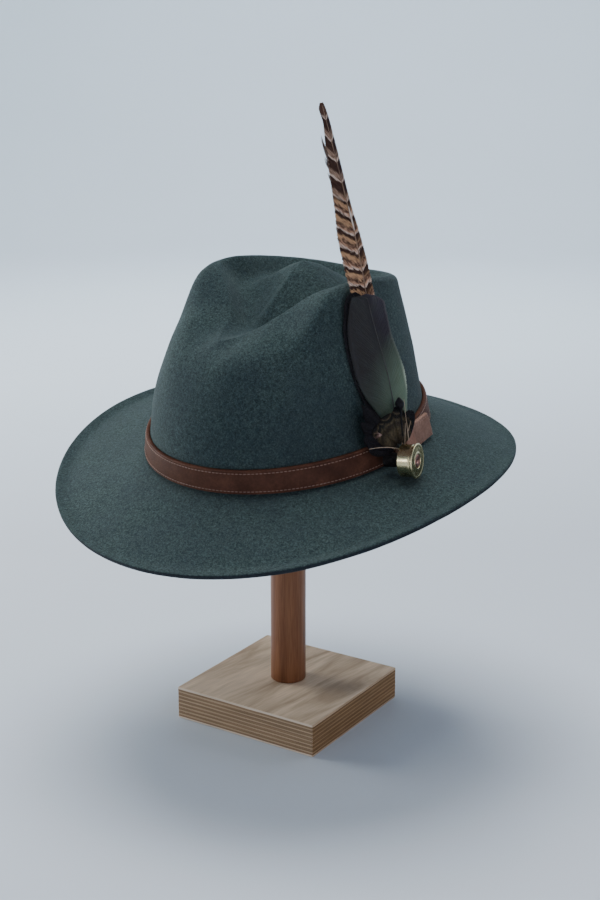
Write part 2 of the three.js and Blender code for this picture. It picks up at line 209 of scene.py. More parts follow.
def times(tree, a, b):
    return math2(tree, "MULTIPLY", a, b)


def swing(tree, value, size):
    # a value between 0 and 1 as one that swings about zero
    return times(tree, minus(tree, value, 0.5), size)


def share(tree, value, low, high):
    # how far a value has come from low to high, between 0 and 1
    return math2(tree, "DIVIDE", minus(tree, value, low), high - low, clamp=True)


def ramp(tree, factor, stops):
    made = node(tree, "ShaderNodeValToRGB")
    parts = made.color_ramp.elements
    while len(parts) < len(stops):
        parts.new(0.5)
    for part, (at, colour) in zip(parts, stops):
        part.position = at
        if isinstance(colour, (int, float)):
            colour = (colour, colour, colour)
        part.color = (*colour, 1)
    tree.links.new(factor, made.inputs[0])
    return made.outputs[0]


def blendColour(tree, factor, a, b, kind="MIX"):
    made = node(tree, "ShaderNodeMix", data_type="RGBA", blend_type=kind)
    for socket, value in ((made.inputs[0], factor), (made.inputs[6], a), (made.inputs[7], b)):
        if isinstance(value, (int, float)):
            socket.default_value = value
        elif isinstance(value, tuple):
            socket.default_value = (*value, 1)
        else:
            tree.links.new(value, socket)
    return made.outputs[2]


def shaded(tree, colour, value, stops, amount=1.0):
    # a colour made darker and lighter by a grain
    return blendColour(tree, amount, colour, ramp(tree, value, stops), "MULTIPLY")


def bump(tree, shader, height, distance, strength):
    made = node(tree, "ShaderNodeBump")
    made.inputs["Strength"].default_value = strength
    made.inputs["Distance"].default_value = distance
    tree.links.new(height, made.inputs["Height"])
    tree.links.new(made.outputs[0], shader.inputs["Normal"])


def strand(tree, vector, scale, width, warp):
    # thin curling lines: where a noise crosses its middle value
    value = grain(tree, vector, scale, 1.0, 0.4, warp)
    away = math2(tree, "ABSOLUTE", minus(tree, value, 0.5))
    return math2(tree, "SUBTRACT", 1.0, math2(tree, "DIVIDE", away, width), clamp=True)


# felt body: crown and brim, one piece

crown = {
    "columns": ("angle", "wallBulge", "shoulderScale", "shoulderHigh", "shoulderRound", "crestScale",
                "crestHigh", "crestRound", "grooveScale", "grooveHigh", "ridgeScale", "ridgeHigh"),
    "rows": (
        (0, 6.0, 0.770, 76, 25, 0.550, 84.5, 8, 0.63, 81.5, 0.15, 108.0),
        (12, 5.5, 0.775, 78, 25, 0.450, 85.2, 6, 0.66, 82, 0.165, 108.0),
        (24, 5.0, 0.765, 82, 25, 0.360, 87.6, 4, 0.72, 83, 0.19, 108.0),
        (38, 5.0, 0.705, 89, 25, 0.315, 91.0, 3, 0.76, 84, 0.21, 108.0),
        (54, 4.6, 0.650, 95.5, 20, 0.326, 95.6, 2.8, 0.76, 85, 0.22, 108.0),
        (70, 4.0, 0.640, 106.5, 11, 0.380, 102.0, 2.8, 0.74, 87, 0.23, 108.0),
        (84, 3.0, 0.652, 112.0, 8, 0.490, 109.0, 3.2, 0.73, 90.5, 0.22, 108.2),
        (95, 2.8, 0.645, 111.5, 7, 0.580, 111.5, 3.5, 0.74, 92.5, 0.21, 108.3),
        (112, 2.4, 0.660, 108.5, 6, 0.615, 110.0, 4, 0.75, 92.5, 0.23, 108.3),
        (146, 1.4, 0.866, 95.5, 9, 0.810, 98.0, 6, 0.72, 88.5, 0.21, 108.1),
        (180, 0.7, 0.860, 91.0, 9, 0.800, 93.0, 7, 0.78, 86.5, 0.23, 107.8),
    ),
    "pressedAt": 50.0,
    "pressedWide": 36.0,
    "pressedDown": 12.0,
    "pressedIn": 0.03,
    "ridgeTopHigh": 112.8,
    "grooveRound": 9.0,
    "ridgeRound": 12.0,
    "breakRound": 2.4,
    "wallRound": 120.0,
    "bulgeCorner": 1.3,
    "cornerRiseMost": 4.5,
}

brim = {
    "wideWaves": (60.7, 4.8, -2.6),
    "highWaves": (-18.3, 1.6, -10.0, 0.3, 0.6),
    "edgeLift": 1.4,
    "lipFrom": 0.86,
    "curve": 0.2,
}

felt = {
    "thick": 2.2,
    "edgeThick": 3.4,
    "edgeProud": 1.3,
    "edgeRows": 6,
    "lipRise": 1.3,
    "turns": 264,
    "brimRows": 34,
    "unevenHigh": 0.28,
    "unevenSize": 26.0,
    "softening": 5,
}


def clampedSlopes(x, y):
    # slopes of an evenly bending curve through the points, level at both ends
    n = len(x)
    system = np.eye(n)
    right = np.zeros_like(y)
    for i in range(1, n - 1):
        low = 1 / (x[i] - x[i - 1])
        high = 1 / (x[i + 1] - x[i])
        system[i, i - 1:i + 2] = (low, 2 * (low + high), high)
        right[i] = 3 * ((y[i] - y[i - 1]) * low**2 + (y[i + 1] - y[i]) * high**2)
    return np.linalg.solve(system, right)


def curveAt(x, y, slope, s):
    # smooth curve through the points (x, y) with the given slopes, read at s; y may have several columns
    i = np.clip(np.searchsorted(x, s, side="right") - 1, 0, len(x) - 2)
    h = x[i + 1] - x[i]
    u = (s - x[i]) / h
    if y.ndim > 1:
        h, u = h[:, None], u[:, None]
    value = (1 + 2 * u) * (1 - u) ** 2 * y[i] + u * u * (3 - 2 * u) * y[i + 1]
    return value + (u * (1 - u) ** 2 * h * slope[i] - u * u * (1 - u) * h * slope[i + 1])


def crownTable(t):
    # every column of the crown's table at the angles t, the same on both sides of the head
    x = np.array([row[0] for row in crown["rows"]], float)
    y = np.array([row[1:] for row in crown["rows"]], float)
    value = curveAt(x, y, clampedSlopes(x, y), np.abs((np.atleast_1d(t) + 540) % 360 - 180))
    return {name: value[:, k] for k, name in enumerate(crown["columns"][1:])}


def headOval(t):
    a = np.radians(np.atleast_1d(t))
    flat = np.zeros_like(a)
    return np.stack([head["halfWidth"] * np.sin(a), -head["halfLength"] * np.cos(a), flat], axis=-1)


def headNormal(t):
    a = np.radians(np.atleast_1d(t))
    flat = np.zeros_like(a)
    return unit(np.stack([head["halfLength"] * np.sin(a), -head["halfWidth"] * np.cos(a), flat], axis=-1))


def column(value, like):
    return np.broadcast_to(np.asarray(value, float), (len(like),))[:, None]


def crownPoint(t, scale, high, out=0.0):
    axis = np.array([0, head["crownAxisY"], 0])
    point = axis + (headOval(t) - axis) * column(scale, t) + headNormal(t) * column(out, t)
    point[:, 2] = np.broadcast_to(high, len(t))
    return point


def dentPoint(t, table, scale, high):
    middle = np.array([0, head["dentAxisY"], 0])
    point = middle + (crownPoint(t, table["crestScale"], 0) - middle) * column(scale, t)
    point[:, 2] = np.broadcast_to(high, len(t))
    return point


def brimPoint(t, reach):
    # reach runs from 0 at the head to 1 at the edge
    a = np.radians(t)
    wide = sum(value * np.cos(k * a) for k, value in enumerate(brim["wideWaves"]))
    edge = sum(value * np.cos(k * a) for k, value in enumerate(brim["highWaves"]))
    lift = max(0, (reach - brim["lipFrom"]) / (1 - brim["lipFrom"]))
    drop = (1 - brim["curve"]) * reach + brim["curve"] * reach**2
    point = headOval(t) + headNormal(t) * (wide * reach)[:, None]
    point[:, 2] = edge * drop - brim["edgeLift"] * (reach - lift**2 * reach)
    return point


def roundedCorner(before, corner, after, radius, steps):
    toBefore = before - corner
    toAfter = after - corner
    room = 0.48 * np.minimum(np.linalg.norm(toBefore, axis=-1), np.linalg.norm(toAfter, axis=-1))
    toBefore = unit(toBefore)
    toAfter = unit(toAfter)
    half = np.arccos(np.clip(np.sum(toBefore * toAfter, axis=-1), -1, 1)) / 2
    reach = np.minimum(room, radius / np.tan(half))
    r = reach * np.tan(half)
    centre = corner + unit(toBefore + toAfter) * (r / np.sin(half))[:, None]
    start = corner + toBefore * reach[:, None] - centre
    end = corner + toAfter * reach[:, None] - centre
    sweep = np.arccos(np.clip(np.sum(unit(start) * unit(end), axis=-1), -1, 1))
    sweep = np.maximum(sweep, 1e-4)[:, None]
    return [
        centre + (np.sin((1 - u) * sweep) * start + np.sin(u * sweep) * end) / np.sin(sweep)
        for u in np.linspace(0, 1, steps + 1)
    ]


def liftedCorner(before, tip, after, radius):
    toBefore = unit(before - tip)
    toAfter = unit(after - tip)
    half = np.arccos(np.clip(np.sum(toBefore * toAfter, axis=-1), -1, 1)) / 2
    rise = np.minimum(crown["cornerRiseMost"], radius * (1 / np.sin(half) - 1))
    return tip - unit(toBefore + toAfter) * rise[:, None]


def linkRows(rows, arc, steps):
    # straight rows from the last one to the next arc, then the arc
    last = rows[-1]
    for k in range(1, steps + 1):
        rows.append(last + (arc[0] - last) * k / (steps + 1))
    rows.extend(arc)


def feltRows(t):
    table = crownTable(t)
    foot = crownPoint(t, 1.0, 0.0)
    scale = 1 + (table["shoulderScale"] - 1) / 2
    wall = crownPoint(t, scale, table["shoulderHigh"] / 2, table["wallBulge"] * crown["bulgeCorner"])
    away = np.abs((t - crown["pressedAt"] + 540) % 360 - 180) / crown["pressedWide"]
    press = np.where(away < 1, np.cos(np.minimum(away, 1) * math.pi / 2) ** 2, 0)
    shoulder = crownPoint(
        t,
        table["shoulderScale"] - crown["pressedIn"] * press,
        table["shoulderHigh"] - crown["pressedDown"] * press,
    )
    groove = dentPoint(t, table, table["grooveScale"], table["grooveHigh"])
    ridge = dentPoint(t, table, table["ridgeScale"], table["ridgeHigh"])
    middle = dentPoint(t, table, 0.0, crown["ridgeTopHigh"])
    tip = crownPoint(t, table["crestScale"], table["crestHigh"])
    crest = liftedCorner(shoulder, tip, groove, table["crestRound"])
    rows = [brimPoint(t, reach) for reach in np.linspace(1, 0.05, felt["brimRows"])]
    linkRows(rows, roundedCorner(rows[-1], foot, wall, crown["breakRound"], 5), 1)
    linkRows(rows, roundedCorner(foot, wall, shoulder, crown["wallRound"], 8), 9)
    linkRows(rows, roundedCorner(wall, shoulder, crest, table["shoulderRound"], 10), 4)
    linkRows(rows, roundedCorner(shoulder, crest, groove, table["crestRound"], 10), 3)
    linkRows(rows, roundedCorner(crest, groove, ridge, crown["grooveRound"], 8), 6)
    linkRows(rows, roundedCorner(groove, ridge, middle, crown["ridgeRound"], 6), 4)
    for k in range(1, 6):
        rows.append(rows[-k] + (middle - rows[-k]) * k / 6)
    return np.array(rows)


def softened(rows):
    # eases the joins between arcs, keeping the brim edge and the break at the strap
    free = np.ones(len(rows))
    free[:2] = 0
    free[felt["brimRows"] - 3:felt["brimRows"] + 14] = 0
    free = free[1:-1, None, None]
    for _ in range(felt["softening"]):
        along = (rows[:-2] + rows[2:]) / 2
        around = (np.roll(rows, 1, axis=1) + np.roll(rows, -1, axis=1))[1:-1] / 2
        rows[1:-1] += free * (0.3 * (along - rows[1:-1]) + 0.2 * (around - rows[1:-1]))
    return rows


def gridNormals(rows):
    around = np.roll(rows, -1, axis=1) - np.roll(rows, 1, axis=1)
    along = np.gradient(rows, axis=0)
    return unit(np.cross(around, along))


def makeFelt(material):
    turns = felt["turns"]
    t = np.arange(turns) * 360 / turns
    rows = softened(feltRows(t))
    normals = gridNormals(rows)
    count = len(rows)
    flat = rows.reshape(-1, 3)
    wave = softNoise(flat, felt["unevenSize"], 1) + 0.4 * softNoise(flat, felt["unevenSize"] * 0.4, 2)
    calm = np.ones(count)
    calm[felt["brimRows"] - 2:felt["brimRows"] + 18] = 0
    rows = rows + normals * (wave.reshape(count, -1) * calm[:, None] * felt["unevenHigh"])[:, :, None]
    # the brim's edge is thicker, and its lip stands up a little
    easing = np.cos(np.linspace(0, math.pi / 2, felt["edgeRows"] + 1)) ** 2
    thick = np.full(count, felt["thick"])
    thick[:len(easing)] += (felt["edgeThick"] - felt["thick"]) * easing
    rows[:len(easing), :, 2] += (felt["lipRise"] * easing**2)[:, None]
    inner = rows - normals * thick[:, None, None]
    middle = (rows[0] + inner[0]) / 2
    outward = headNormal(t)
    edge = []
    for k in range(1, 8):
        a = math.pi * k / 8
        across = math.copysign(abs(math.cos(a)) ** 0.6, math.cos(a))
        edge.append(middle + (rows[0] - middle) * across + outward * felt["edgeProud"] * math.sin(a) ** 0.6)
    loops = [*rows[::-1], *edge, *inner]
    faces = []
    for j in range(len(loops) - 1):
        for i in range(turns):
            k = (i + 1) % turns
            faces.append((j * turns + i, (j + 1) * turns + i, (j + 1) * turns + k, j * turns + k))
    last = (len(loops) - 1) * turns
    top = last + turns
    for i in range(turns):
        k = (i + 1) % turns
        faces.append((top, i, k))
        faces.append((top + 1, last + k, last + i))
    middles = [[0, head["dentAxisY"], crown["ridgeTopHigh"] - down] for down in (0.0, felt["thick"])]
    points = np.concatenate([*loops, middles])
    makePiece("feltBody", points, faces, material, ["crown_and_brim"])


feltLook = {
    "deep": (0.0165, 0.0275, 0.0310),
    "mid": (0.0285, 0.0480, 0.0495),
    "pale": (0.0545, 0.0840, 0.0850),
    "blue": (0.0250, 0.0380, 0.0460),
    "fibre": (0.0950, 0.1340, 0.1320),
    # the colour of the painted shade on the lower side of the brim's edge
    "edge": (0.0100, 0.0115, 0.0180),
    "sheenTint": (0.70, 0.80, 0.82, 1),
    "mottleScale": 700,
    "fineScale": 1500,
    "cloudScale": 34,
    "patchScale": 330,
    # the pale fibres, in two directions: stretch and turn of the pattern, its scale, line width and curl
    "strands": (
        ((1.0, 1.0, 2.4), (0.5, 0.3, 0.2), 560, 0.012, 2.2),
        ((1.0, 2.2, 1.0), (0.2, 0.9, 1.1), 680, 0.013, 2.6),
    ),
    # the painted shade on the brim's rim: the hat's middle over the floor, and the distances from it, in
    # metres
    "middle": (0.009, -0.009),
    "rimFrom": 0.119,
    "rimFull": 0.127,
    "rimShadeStrength": 0.8,
    # and how far the felt there faces down, where the painted shade starts and is full
    "rimFacing": (0.42, -0.05),
    "underFacing": (-0.85, -0.55),
}


def feltMaterial():
    material, tree, shader = newMaterial("woolFelt", {
        "Roughness": 0.95, "Specular IOR Level": 0.15, "Sheen Weight": 0.06, "Sheen Roughness": 0.5,
        "Sheen Tint": feltLook["sheenTint"],
    })
    vector = place(tree)
    mottle = grain(tree, vector, feltLook["mottleScale"], 2.0, 0.65, 0.6)
    fine = grain(tree, vector, feltLook["fineScale"], 2.0, 0.6)
    cloud = grain(tree, vector, feltLook["cloudScale"])
    colour = ramp(tree, mottle, [(0.30, feltLook["deep"]), (0.5, feltLook["mid"]), (0.70, feltLook["pale"])])
    colour = blendColour(tree, ramp(tree, cloud, [(0.35, 0.0), (0.65, 0.4)]), colour, feltLook["blue"])
    colour = shaded(tree, colour, fine, [(0.38, 0.68), (0.62, 1.32)])
    # more of the pale fibres lie in some patches
    turned, slanted = (
        strand(tree, place(tree, stretch, turn), scale, width, curl)
        for stretch, turn, scale, width, curl in feltLook["strands"]
    )
    patches = ramp(tree, grain(tree, vector, feltLook["patchScale"], 1.0), [(0.44, 0.0), (0.58, 0.85)])
    fibres = times(tree, math2(tree, "MAXIMUM", turned, slanted), patches)
    colour = blendColour(tree, fibres, colour, feltLook["fibre"])
    # painted shade: the brim's edge is darker where it faces down, below its lit top
    facing = splitVector(tree, node(tree, "ShaderNodeNewGeometry").outputs["Normal"])["Z"]
    spot = splitVector(tree, vector)
    outX = minus(tree, spot["X"], feltLook["middle"][0])
    outY = minus(tree, spot["Y"], feltLook["middle"][1])
    radius = math2(tree, "SQRT", plus(tree, times(tree, outX, outX), times(tree, outY, outY)))
    below, under = (share(tree, facing, *feltLook[key]) for key in ("rimFacing", "underFacing"))
    below = times(tree, below, under)
    below = times(tree, below, share(tree, radius, feltLook["rimFrom"], feltLook["rimFull"]))
    colour = blendColour(tree, times(tree, below, feltLook["rimShadeStrength"]), colour, feltLook["edge"])
    tree.links.new(colour, shader.inputs["Base Color"])
    bump(tree, shader, plus(tree, times(tree, fine, 0.5), mottle), 0.0006, 0.5)
    return material


print("felt body")
makeFelt(feltMaterial())


# leather strap, its free end and keeper

strap = {
    "gap": 0.45,
    "thick": 2.4,
    "low": 0.9,
    "high": 16.2,
    "sections": 420,
    "faceRows": 26,
    "edgeRound": 0.7,
    "edgeSteps": 4,
    "crowned": 0.22,
    "stitchIn": 1.9,
    "stitchPitch": 2.55,
    "stitchLong": 1.75,
    "stitchUneven": 0.06,
    "threadRadius": 0.25,
    "threadProud": 0.02,
    "furrow": 0.16,
    "furrowWide": 0.55,
}

stitchLines = (strap["low"] + strap["stitchIn"], strap["high"] - strap["stitchIn"])

strapEnd = {"thick": 2.2, "fromDeg": 90.0, "leavesDeg": 100.5, "long": 25.0, "gap": 0.3}

keeper = {"thick": 1.6, "fromDeg": 94.5, "toDeg": 100.5, "proud": 1.2}


def wallPoint(t, high, out):
    t = np.atleast_1d(np.asarray(t, float))
    table = crownTable(t)
    climb = high / (table["shoulderHigh"] / 2)
    scale = 1 + (table["shoulderScale"] - 1) / 2 * climb
    return crownPoint(t, scale, high, table["wallBulge"] * crown["bulgeCorner"] * climb + out)


def strapOutline(low, high, thick, furrowed=True):
    # closed outline as (height, distance from the inner face), the inner face first
    r = min(strap["edgeRound"], thick * 0.4)
    steps = strap["edgeSteps"]
    corner = [math.radians(90 * k / steps) for k in range(steps + 1)]
    outline = [(low, 0.0)]
    outline += [(low + r * (1 - math.cos(a)), thick - r + r * math.sin(a)) for a in corner]
    for k in range(1, strap["faceRows"]):
        h = low + r + (high - low - 2 * r) * k / strap["faceRows"]
        middle = (h - low) / (high - low)
        rise = strap["crowned"] * math.sin(math.pi * middle)
        if furrowed:
            for line in stitchLines:
                rise -= strap["furrow"] * math.exp(-((h - line) / strap["furrowWide"]) ** 2)
        outline.append((h, thick + rise))
    outline += [(high - r * (1 - math.cos(a)), thick - r + r * math.sin(a)) for a in corner[::-1]]
    return [*outline, (high, 0.0)]


def ringSections(angles, outline, out):
    columns = [wallPoint(angles, h, out + o) for h, o in outline]
    return np.stack(columns, axis=1)


def stitchRow(heap, rail, outward):
    # one row of stitches on a line of surface points, each dipping into its holes
    steps = np.linalg.norm(np.diff(rail, axis=0), axis=1)
    distance = np.concatenate([[0], np.cumsum(steps)])
    total = distance[-1]
    count = int(total // strap["stitchPitch"])
    long, radius, uneven = strap["stitchLong"], strap["threadRadius"], strap["stitchUneven"]
    wobble = random.Random(7)

    def along(line, d):
        return np.array([np.interp(d, distance, line[:, c]) for c in range(3)])

    for k in range(count):
        start = (k + 0.5) * total / count - long / 2 + wobble.uniform(-uneven, uneven)
        path = []
        radii = []
        for u in (0.0, 0.12, 0.35, 0.65, 0.88, 1.0):
            d = start + long * u
            rise = radius * (math.sin(math.pi * u) ** 0.5 - 0.75)
            path.append(along(rail, d) + unit(along(outward, d)) * rise)
            radii.append(radius * (0.55 if u in (0.0, 1.0) else 1.0))
        heap.add(*tube(path, radii))


def makeStrip(name, sections, leather, nodeName, closed=False):
    count, size = sections.shape[:2]
    faces = loftFaces(count, size, closed, turned=True)
    makePiece(name, sections.reshape(-1, 3), faces, leather, [nodeName])


def makeStrap(leather, thread):
    angles = np.arange(strap["sections"]) * 360 / strap["sections"]
    outline = strapOutline(strap["low"], strap["high"], strap["thick"])
    sections = ringSections(angles, outline, strap["gap"])
    makeStrip("strapBand", sections, leather, "hat_band", closed=True)
    heap = Heap()
    closed = np.append(angles, 360.0)
    for line in stitchLines:
        rail = wallPoint(closed, line, strap["gap"] + strap["thick"] + strap["threadProud"])
        stitchRow(heap, rail, headNormal(closed))
    makePiece("strapStitches", heap.points, heap.faces, thread)


def endSections(outline):
    out = strap["gap"] + strap["thick"] + strapEnd["gap"]
    angles = np.linspace(strapEnd["fromDeg"], strapEnd["leavesDeg"], 16)
    sections = list(ringSections(angles, outline, out))
    along = sections[-1][0] - sections[-2][0]
    along[2] = 0
    along = unit(along)
    leave = sections[-1]
    for k in range(1, 25):
        sections.append(leave + along * strapEnd["long"] * k / 24)
    return np.array(sections)


def makeStrapEnd(leather, thread):
    outline = strapOutline(strap["low"], strap["high"], strapEnd["thick"])
    sections = endSections(outline)
    makeStrip("strapFreeEnd", sections, leather, "band_end")
    heap = Heap()
    for line in stitchLines:
        nearest = min(range(6, len(outline) - 6), key=lambda k: abs(outline[k][0] - line))
        rail = sections[:, nearest]
        stitchRow(heap, rail, unit(rail - sections[:, 0]))
    makePiece("freeEndStitches", heap.points, heap.faces, thread)


def makeKeeper(leather):
    out = strap["gap"] + strap["thick"] + strapEnd["gap"] + strapEnd["thick"] + strapEnd["gap"]
    low = strap["low"] - keeper["proud"] * 0.4
    outline = strapOutline(low, strap["high"] + keeper["proud"], keeper["thick"], furrowed=False)
    angles = np.linspace(keeper["fromDeg"], keeper["toDeg"], 14)
    makeStrip("strapKeeper", ringSections(angles, outline, out), leather, "band_keeper")


leatherLook = {
    # usual, dark and worn colour of each leather
    "strapLeather": ((0.082, 0.037, 0.025), (0.060, 0.026, 0.018), (0.120, 0.054, 0.035)),
    "endLeather": ((0.25, 0.150, 0.115), (0.20, 0.115, 0.085), (0.33, 0.210, 0.165)),
    "keeperLeather": ((0.30, 0.165, 0.125), (0.22, 0.118, 0.088), (0.38, 0.22, 0.17)),
    "cloudScale": 70,
    "fineScale": 700,
    "pebbleScale": 1150,
}

threadLook = {"colour": (0.33, 0.195, 0.15), "shade": 0.55, "twistScale": 900}


def leatherMaterial(name):
    usual, dark, worn = leatherLook[name]
    material, tree, shader = newMaterial(name, {"Specular IOR Level": 0.06})
    vector = place(tree)
    cloud = grain(tree, vector, leatherLook["cloudScale"], 3.0, 0.55)
    fine = grain(tree, vector, leatherLook["fineScale"], 3.0, 0.6)
    colour = ramp(tree, cloud, [(0.3, dark), (0.52, usual), (0.78, worn)])
    colour = shaded(tree, colour, fine, [(0.35, 0.55), (0.65, 1.25)], 0.35)
    tree.links.new(colour, shader.inputs["Base Color"])
    tree.links.new(ramp(tree, cloud, [(0.3, 0.5), (0.7, 0.64)]), shader.inputs["Roughness"])
    cells = node(tree, "ShaderNodeTexVoronoi", feature="DISTANCE_TO_EDGE")
    cells.inputs["Scale"].default_value = leatherLook["pebbleScale"]
    tree.links.new(vector, cells.inputs["Vector"])
    pebble = math2(tree, "MINIMUM", cells.outputs["Distance"], 0.22)
    bump(tree, shader, plus(tree, times(tree, pebble, 1.6), times(tree, fine, 0.35)), 0.00035, 0.5)
    return material


def threadMaterial():
    material, tree, shader = newMaterial("waxedThread", {"Roughness": 0.7, "Sheen Weight": 0.2})
    twist = node(tree, "ShaderNodeTexWave")
    twist.inputs["Scale"].default_value = threadLook["twistScale"]
    twist.inputs["Distortion"].default_value = 1.5
    tree.links.new(place(tree, turn=(0.6, 0.4, 0.0)), twist.inputs["Vector"])
    colour = threadLook["colour"]
    dark = tuple(threadLook["shade"] * c for c in colour)
    tint = ramp(tree, twist.outputs["Fac"], [(0.2, dark), (0.7, colour)])
    tree.links.new(tint, shader.inputs["Base Color"])
    bump(tree, shader, twist.outputs["Fac"], 0.0001, 0.6)
    return material


print("leather strap")
waxedThread = threadMaterial()
makeStrap(leatherMaterial("strapLeather"), waxedThread)
makeStrapEnd(leatherMaterial("endLeather"), waxedThread)
makeKeeper(leatherMaterial("keeperLeather"))


# feathers

sheet = {"twistDeg": -18.0, "steps": 480, "long": 250, "uvWide": 60.0, "uvLong": 240.0}

tailFeather = {
    "root": (96.6, -7.9, 6.0), "leanDeg": (20.5, 13.5), "leanOver": 230.0, "cup": 0.002,
    "rows": (
        (4.8, -0.6, 1.6, 0.5), (24, -2.6, 4.6, 1.6), (48, -3.8, 8.6, 3.4), (78, -4.0, 11.4, 5.6),
        (106, -3.6, 13.1, 7.0), (124, -4.6, 13.0, 7.9), (142, -4.8, 12.0, 8.0), (160, -2.7, 10.0, 7.3),
        (181, -1.3, 8.7, 6.2), (193, -0.7, 8.0, 5.4), (205, 0.6, 7.1, 4.6), (214, 1.5, 6.4, 4.0),
        (222, 0.3, 5.2, 3.2), (225.6, 1.6, 4.2, 3.0),
    ),
    "barbPitch": 0.62, "sweep": (1.15, 1.9), "barbThick": 0.22, "shaftRadius": (0.55, 0.2),
    "coreShare": 0.95,
}

looseBarbs = {
    # barbs that have come away from the tail feather's front edge in two bundles: where the barb leaves the
    # vane and where it ends, both as (along, across), and how far it bows outward
    "rows": (
        ((192.0, -0.1), (205.4, -2.3), 0.15), ((193.4, 0.1), (206.6, -2.0), 0.1),
        ((190.4, -0.3), (203.4, -2.5), 0.2), ((194.4, 0.3), (204.4, -1.7), 0.1),
        ((187.0, -0.3), (192.3, -2.8), 0.1), ((188.2, -0.1), (193.5, -2.4), 0.1),
        ((185.6, -0.6), (190.6, -2.9), 0.15), ((178.0, -1.2), (183.6, -2.6), 0.1),
    ),
    "wide": 0.95,
    "thick": 0.25,
}

underFeather = {
    "root": (99.1, -8.7, 6.0), "leanDeg": (20.5, 17.5), "leanOver": 110.0, "cup": 0.002,
    "rows": (
        (6.9, -0.8, 1.4, 0.3), (18, -6.0, 2.8, -0.4), (30, -10.4, 4.0, -1.8), (42, -14.4, 5.0, -3.2),
        (56, -17.2, 6.0, -4.4), (70, -17.9, 7.0, -5.0), (84, -17.0, 7.0, -4.6), (97, -13.8, 6.0, -3.6),
        (106, -10.0, 2.0, -3.2), (109, -6.0, -1.5, -3.8),
    ),
    "barbPitch": 0.5, "sweep": (1.25, 1.25), "barbThick": 0.12, "shaftRadius": (0.5, 0.2),
    "coreShare": 0.96,
}

greenFeather = {
    "root": (101.2, -9.4, 6.0), "leanDeg": (20.5, 17.5), "leanOver": 110.0, "cup": 0.002,
    "rows": (
        (7.1, 0.4, 3.0, 1.6), (16, -1.6, 8.5, 3.0), (23, -3.0, 12.6, 4.2), (34, -8.0, 16.2, 5.4),
        (44, -13.0, 18.8, 6.2), (54, -15.6, 20.0, 6.6), (62, -16.4, 19.2, 6.4), (70, -16.4, 17.9, 6.0),
        (80, -15.8, 16.5, 5.4), (90, -14.0, 16.6, 5.0), (99, -10.8, 16.8, 4.7), (104, -8.6, 12.0, 4.6),
        (107, -6.5, 5.0, 0.0),
    ),
    "barbPitch": 0.46, "sweep": (1.2, 1.15), "barbThick": 0.035, "shaftRadius": (0.42, 0.18),
    "coreShare": 0.97,
}

hackleSheet = {"root": (103.2, -10.1, 6.0), "leanDeg": (14.0, 5.0), "leanOver": 50.0, "cup": 0.003}


def smoothColumn(rows, k):
    # smooth line through one column, without overshoot
    x = np.array([row[0] for row in rows], float)
    y = np.array([row[k] for row in rows], float)
    step = np.diff(y) / np.diff(x)
    slope = np.zeros(len(x))
    for i in range(1, len(x) - 1):
        if step[i - 1] * step[i] > 0:
            slope[i] = 2 * step[i - 1] * step[i] / (step[i - 1] + step[i])
    slope[0] = step[0]
    slope[-1] = step[-1]
    return lambda s: curveAt(x, y, slope, np.clip(s, x[0], x[-1]))


def sheetFrame(feather):
    # points and outward directions along the middle of a leaning sheet, by distance from its root
    twist = math.radians(sheet["twistDeg"])
    outward = np.array([math.cos(twist), math.sin(twist), 0])
    across = np.array([-math.sin(twist), math.cos(twist), 0])
    first, last = feather["leanDeg"]
    s = np.linspace(0, sheet["long"], sheet["steps"])
    lean = np.radians(first + (last - first) * s / feather["leanOver"])
    step = s[1] - s[0]
    middle = (np.sin(lean[1:]) + np.sin(lean[:-1])) / 2
    rise = (np.cos(lean[1:]) + np.cos(lean[:-1])) / 2
    inward = np.concatenate([[0], np.cumsum(middle) * step])
    upward = np.concatenate([[0], np.cumsum(rise) * step])
    root = np.array(feather["root"])

    def at(along, v, lift, bendFrom=0.0):
        along = np.asarray(along, float)
        a = np.interp(along, s, inward)[..., None]
        b = np.interp(along, s, upward)[..., None]
        angle = np.interp(along, s, lean)[..., None]
        face = outward * np.cos(angle) + np.array([0, 0, 1]) * np.sin(angle)
        bend = feather["cup"] * (np.asarray(v) - bendFrom) ** 2
        base = root - outward * a + np.array([0, 0, 1]) * b
        return base + across * np.asarray(v)[..., None] + face * (np.asarray(lift) - bend)[..., None]

    return at


barbShape = ((-0.5, -0.35), (0.0, 0.5), (0.5, -0.35))


def stripLines(s, v, widths):
    # the three long edges of a strip along a line in the sheet; widths lie across its run
    ds = np.gradient(s)
    dv = np.gradient(v)
    size = np.maximum(np.hypot(ds, dv), 1e-6)
    return [(s + side * widths * dv / size, v - side * widths * ds / size) for side, _ in barbShape]


def vaneUv(s, v, shaft):
    return np.stack([(v - shaft) / sheet["uvWide"] + 0.5, s / sheet["uvLong"]], axis=-1)


def addBarb(heap, at, s, v, lift, widths, thick, shaft):
    # closed three-sided strip along a barb
    points = []
    uvs = []
    for (side, high), (ss, vv) in zip(barbShape, stripLines(s, v, widths)):
        rise = lift + high * thick * (0.4 + 0.6 * widths / widths[0]) + 0.12 * side * thick
        points.append(at(ss, vv, rise, shaft))
        uvs.append(vaneUv(ss, vv, shaft))
    heap.add(woven(points), loftFaces(len(s), 3, turned=v[-1] > v[0]), woven(uvs))


